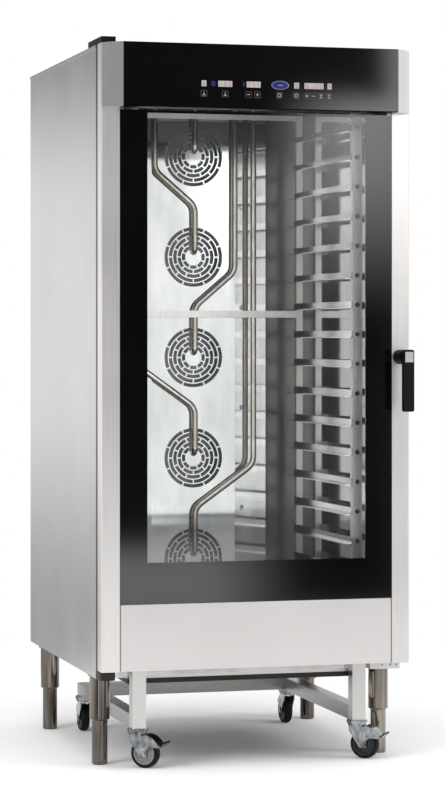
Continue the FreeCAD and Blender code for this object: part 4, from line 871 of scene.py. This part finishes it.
@dataclass
class FastenerPlan:
    """Where the oven's screws go, worked out from the pieces that they hold."""

    # On the front uprights, one at the front end of each tray runner.
    runner_first: float = 506 * MM
    runner_pitch: float = 82 * MM
    runner_count: int = 16
    runner_rise: float = 10 * MM
    upright_inset: float = 14 * MM
    # On the baffle's two slanting wings.
    baffle_rise: float = 5 * MM
    baffle_pitch: float = 297 * MM
    baffle_rows: int = 4
    baffle_at: Pair = (148 * MM, 219.1 * MM)
    baffle_slant: Pair = (0.194, -0.981)
    # At the foot of the right front cheek.
    cheek_columns: tuple[float, ...] = (379 * MM, 404 * MM, 421 * MM)
    cheek_height: float = 256 * MM
    # Round the rear panel: two upright rows, and a row at its foot and its top.
    rear_margin: float = 40 * MM
    rear_rows: int = 8
    rear_inset: float = 11 * MM
    rear_columns: tuple[float, ...] = (-280 * MM, -140 * MM, 0.0, 140 * MM, 280 * MM)
    rear_edge: float = 12 * MM
    # Along both sides of the top panel.
    top_inset: float = 14 * MM
    top_first: float = 120 * MM
    top_pitch: float = 170 * MM
    top_rows: int = 5

    def sets(self) -> Iterable[Fasteners]:
        """List every set of screws.

        Returns:
            The sets, each on one body and facing one way.
        """
        ahead, back, up = Vector((0, -1, 0)), Vector((0, 1, 0)), Vector((0, 0, 1))
        low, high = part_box("rack_uprights")
        levels = [self.runner_first + self.runner_pitch * level + self.runner_rise
                  for level in range(self.runner_count)]
        places = [(side * (high.x - self.upright_inset), low.y, level)
                  for level in levels for side in (-1, 1)]
        yield Fasteners("rack_screws", "brushed_stainless", ZINC_PLATE, places, ahead,
                        radius=7.5 * MM, height=2.8 * MM)
        low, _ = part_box("baffle_studs")
        first = low.z + self.baffle_rise
        rows = [first + self.baffle_pitch * row for row in range(self.baffle_rows)]
        x, y = self.baffle_at
        for side, name in ((-1, "left"), (1, "right")):
            outward = Vector((-side * self.baffle_slant[0], self.baffle_slant[1], 0))
            yield Fasteners(f"baffle_screws_{name}", "bright_stainless", ZINC_PLATE,
                            [(side * x, y, row) for row in rows], outward,
                            radius=7 * MM, height=3 * MM)
        low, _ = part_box("side_panels")
        places = [(column, low.y, self.cheek_height) for column in self.cheek_columns]
        yield Fasteners("cheek_screws", "brushed_stainless", HINGE_STEEL, places, ahead,
                        radius=3.4 * MM, height=1.2 * MM)
        low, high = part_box("rear_panel")
        pitch = (high.z - low.z - 2 * self.rear_margin) / (self.rear_rows - 1)
        heights = [low.z + self.rear_margin + step * pitch for step in range(self.rear_rows)]
        places = [(side * (high.x - self.rear_inset), high.y, height)
                  for height in heights for side in (-1, 1)]
        places += [(column, high.y, height) for column in self.rear_columns
                   for height in (low.z + self.rear_edge, high.z - self.rear_edge)]
        yield Fasteners("rear_screws", "brushed_stainless", ZINC_PLATE, places, back,
                        radius=4 * MM, height=1.8 * MM)
        low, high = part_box("top_panel")
        depths = [low.y + self.top_first + step * self.top_pitch for step in range(self.top_rows)]
        places = [(side * (high.x - self.top_inset), depth, high.z)
                  for depth in depths for side in (-1, 1)]
        yield Fasteners("top_screws", "brushed_stainless", ZINC_PLATE, places, up,
                        radius=4 * MM, height=1.8 * MM)


@dataclass(frozen=True)
class Lamp:
    """A soft rectangular lamp, the point that it faces, and whether gloss mirrors it."""

    name: str
    at: Point
    aim: Point
    size: Pair
    power: float
    mirrored: bool = False


@dataclass(frozen=True)
class Card:
    """A soft-edged card that only gloss sees.

    Its soft values are the shares of its half width and half height at full brightness, and level
    is that brightness, where one is white.
    """

    name: str
    at: Point
    aim: Point
    size: Pair
    soft: Pair
    level: float


LAMPS = (
    Lamp("left_softbox", (-4.6, -2.6, 2.6), (0.0, 0.0, 1.0), (2.2, 3.2), 120.0),
    Lamp("right_softbox", (4.6, -2.6, 2.4), (0.0, 0.0, 1.0), (2.0, 3.0), 90.0),
    Lamp("top_softbox", (0.0, -0.6, 4.6), (0.0, 0.0, 1.0), (3.6, 3.6), 90.0),
    Lamp("cavity_lamp", (-0.025, -0.39, 1.165), (-0.025, 0.4, 1.165), (0.67, 1.13), 3.2, True),
    Lamp("cavity_sill_lamp", (0.03, -0.39, 0.44), (0.03, 0.4, 0.44), (0.56, 0.3), 0.2, True),
)
CARDS = (
    Card("front_flag", (0.5, -4.6, 1.4), (0.5, -0.5, 1.4), (3.8, 4.0), (0.6, 0.8), 0.05),
    Card("glare_card", (1.35, -3.6, 2.15), (1.35, -0.5, 2.15), (0.9, 1.9), (0.1, 0.1), 5.0),
    Card("fascia_flag", (0.614, -3.5, 2.83), (0.614, -0.5, 2.83), (1.7, 1.6), (0.8, 0.85), 0.06),
    Card("low_glare", (0.5, -4.5, 0.1), (0.5, -0.5, 0.1), (1.76, 0.5), (0.42, 0.3), 3.0),
    Card("left_flag", (-0.95, -0.95, 0.1), (-0.4, -0.4, 0.1), (0.3, 0.3), (0.7, 0.8), 0.03),
    Card("edge_glare", (1.92, -3.55, 2.4), (1.92, -0.5, 2.4), (1.0, 1.5), (0.97, 0.1), 4.2),
    Card("end_flag", (-1.3, -0.75, 1.87), (-0.41, -0.5, 1.87), (1.3, 1.3), (0.75, 0.75), 0.25),
    Card("high_flag", (-0.8, 1.6, 2.35), (-0.8, 0.0, 2.35), (2.4, 1.5), (0.6, 0.1), 0.2),
    Card("low_flag", (-0.8, 1.6, 0.05), (-0.8, 0.0, 0.05), (2.4, 1.9), (0.6, 0.1), 0.42),
)


@dataclass
class Studio:
    """A white floor, soft lamps, cards for the gloss and the photograph's camera."""

    # The camera's place, its turn in degrees, its lens in millimetres, its shift and its reach.
    camera_at: Point = (-1.970, -7.3284, 1.1653)
    camera_turn: float = -15.27
    lens: float = 118.59
    shift: float = -0.0791
    view_depth: float = 100.0
    floor_size: Pair = (60.0, 60.0)
    floor_colour: str = "#fbfbfb"
    # The distances from the oven between which the floor turns plain white.
    fade: Pair = (1.0, 2.6)
    # The brightness of the surroundings to matt surfaces.
    matt_level: float = 0.75

    def build(self) -> None:
        """Set the camera, the floor, the lamps, the cards and the world."""
        scene = bpy.context.scene
        scene.view_settings.view_transform = "Standard"
        data = bpy.data.cameras.new("camera")
        data.lens = self.lens
        data.shift_y = self.shift
        data.clip_end = self.view_depth
        camera = link_object("camera", data)
        camera.location = self.camera_at
        camera.rotation_euler = (math.radians(90), 0.0, math.radians(self.camera_turn))
        scene.camera = camera
        self.lay_floor()
        self.hang_lamps()
        self.stand_cards()
        self.paint_world()

    @staticmethod
    def lay_sheet(name: str, size: Pair, cloth: str) -> Object:
        """Lay a flat sheet at the origin, with a material that has no shader yet.

        Args:
            name: the sheet's name.
            size: its width and height.
            cloth: its material's name.

        Returns:
            The new object.
        """
        mesh = bmesh.new()
        bmesh.ops.create_grid(mesh, x_segments=1, y_segments=1, size=0.5)
        bmesh.ops.scale(mesh, vec=(*size, 1.0), verts=mesh.verts)
        data = bpy.data.meshes.new(name)
        mesh.to_mesh(data)
        mesh.free()
        material = bpy.data.materials.new(cloth)
        material.use_nodes = True
        material.node_tree.nodes.remove(material.node_tree.nodes["Principled BSDF"])
        data.materials.append(material)
        return link_object(name, data)

    def lay_floor(self) -> None:
        """Lay a white floor that takes the oven's shadow and fades into the white behind it."""
        floor = self.lay_sheet("studio_floor", self.floor_size, "white_studio_floor")
        tree = floor.active_material.node_tree
        where = add_node(tree, "ShaderNodeTexCoord").outputs["Object"]
        away = add_node(tree, "ShaderNodeVectorMath", {0: where}, operation="LENGTH")
        fade = add_range(tree, away.outputs["Value"], self.fade, (0.0, 1.0),
                         interpolation_type="SMOOTHSTEP")
        matt = add_node(tree, "ShaderNodeBsdfDiffuse", {"Color": linear(self.floor_colour)})
        white = add_node(tree, "ShaderNodeEmission", {"Color": WHITE, "Strength": 1.0})
        mixed = add_node(tree, "ShaderNodeMixShader", {0: fade, 1: matt, 2: white})
        set_inputs(tree, tree.nodes["Material Output"], {"Surface": mixed})

    @staticmethod
    def hang_lamps() -> None:
        """Hang soft boxes round the oven, which gloss doesn't mirror, and lamps in its cavity."""
        for lamp in LAMPS:
            light = bpy.data.lights.new(lamp.name, "AREA")
            light.shape = "RECTANGLE"
            light.size, light.size_y = lamp.size
            light.energy = lamp.power
            hung = link_object(lamp.name, light)
            towards = Vector(lamp.aim) - Vector(lamp.at)
            hung.location = lamp.at
            hung.rotation_euler = towards.to_track_quat("-Z", "Y").to_euler()
            hung.visible_camera = False
            hung.visible_glossy = lamp.mirrored

    def stand_cards(self) -> None:
        """Stand the cards where the steel and the glass mirror them."""
        for card in CARDS:
            stood = self.lay_sheet(card.name, card.size, card.name + "_cloth")
            self.paint_card(card, stood.active_material.node_tree)
            towards = Vector(card.aim) - Vector(card.at)
            stood.location = card.at
            stood.rotation_euler = towards.to_track_quat("Z", "Y").to_euler()
            stood.visible_camera = stood.visible_diffuse = False
            stood.visible_shadow = stood.visible_transmission = False

    @staticmethod
    def paint_card(card: Card, tree: NodeTree) -> None:
        """Give a card its glow, full in its middle and gone at its edges.

        Args:
            card: the card.
            tree: its material's node tree.
        """
        where = add_node(tree, "ShaderNodeTexCoord").outputs["Object"]
        per_half = (2 / card.size[0], 2 / card.size[1], 0.0)
        spread = add_node(tree, "ShaderNodeVectorMath", {0: where, 1: per_half},
                          operation="MULTIPLY")
        far = add_node(tree, "ShaderNodeVectorMath", {0: spread}, operation="ABSOLUTE")
        sides = add_node(tree, "ShaderNodeSeparateXYZ", {0: far})
        fades = [add_range(tree, sides.outputs[axis], (start, 1.0), (1.0, 0.0),
                           interpolation_type="SMOOTHSTEP")
                 for axis, start in zip("XY", card.soft)]
        share = add_sum(tree, "MULTIPLY", *fades)
        glow = add_node(tree, "ShaderNodeEmission", {"Strength": card.level})
        clear = add_node(tree, "ShaderNodeBsdfTransparent")
        mixed = add_node(tree, "ShaderNodeMixShader", {0: share, 1: clear, 2: glow})
        set_inputs(tree, tree.nodes["Material Output"], {"Surface": mixed})

    def paint_world(self) -> None:
        """Make the surroundings white to the eye and to gloss, and a soft grey to matt surfaces."""
        world = bpy.data.worlds.new("studio")
        world.use_nodes = True
        bpy.context.scene.world = world
        tree = world.node_tree
        ray = add_node(tree, "ShaderNodeLightPath").outputs
        seen = add_sum(tree, "MAXIMUM", ray["Is Camera Ray"], ray["Is Glossy Ray"])
        shown = add_sum(tree, "MAXIMUM", seen, ray["Is Transmission Ray"])
        strength = add_range(tree, shown, (0.0, 1.0), (self.matt_level, 1.0))
        set_inputs(tree, tree.nodes["Background"], {"Color": WHITE, "Strength": strength})


def dress_nodes() -> None:
    """Give every CAD node the finish of what it is made of."""
    for finish, names in NODE_FINISHES.items():
        for name in names:
            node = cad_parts[name]
            node.data.materials.clear()
            node.data.materials.append(finish.material())
            LOG.info("%s takes %s", name, finish.name)


def main() -> None:
    """Dress the CAD nodes, add the pieces that they lack and build the studio round them."""
    logging.basicConfig(level=logging.INFO, format="%(message)s")
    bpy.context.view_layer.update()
    dress_nodes()
    DoorGlass().build()
    ControlFascia().build()
    front = Vector((math.sin(FRONT_AXLE_TURN), math.cos(FRONT_AXLE_TURN), 0))
    rear = Vector((1, 0, 0))
    # The front left hub shows its pale grey; the other three are painted dark as shade.
    for corner, along, hub in zip(CORNERS, (front, front, rear, rear),
                                  (PALE_HUB, SHADED_HUB, SHADED_HUB, SHADED_HUB)):
        CasterWheel(corner, along, hub).build()
    for screws in FastenerPlan().sets():
        screws.build()
    Studio().build()


if __name__ == "__main__":
    main()
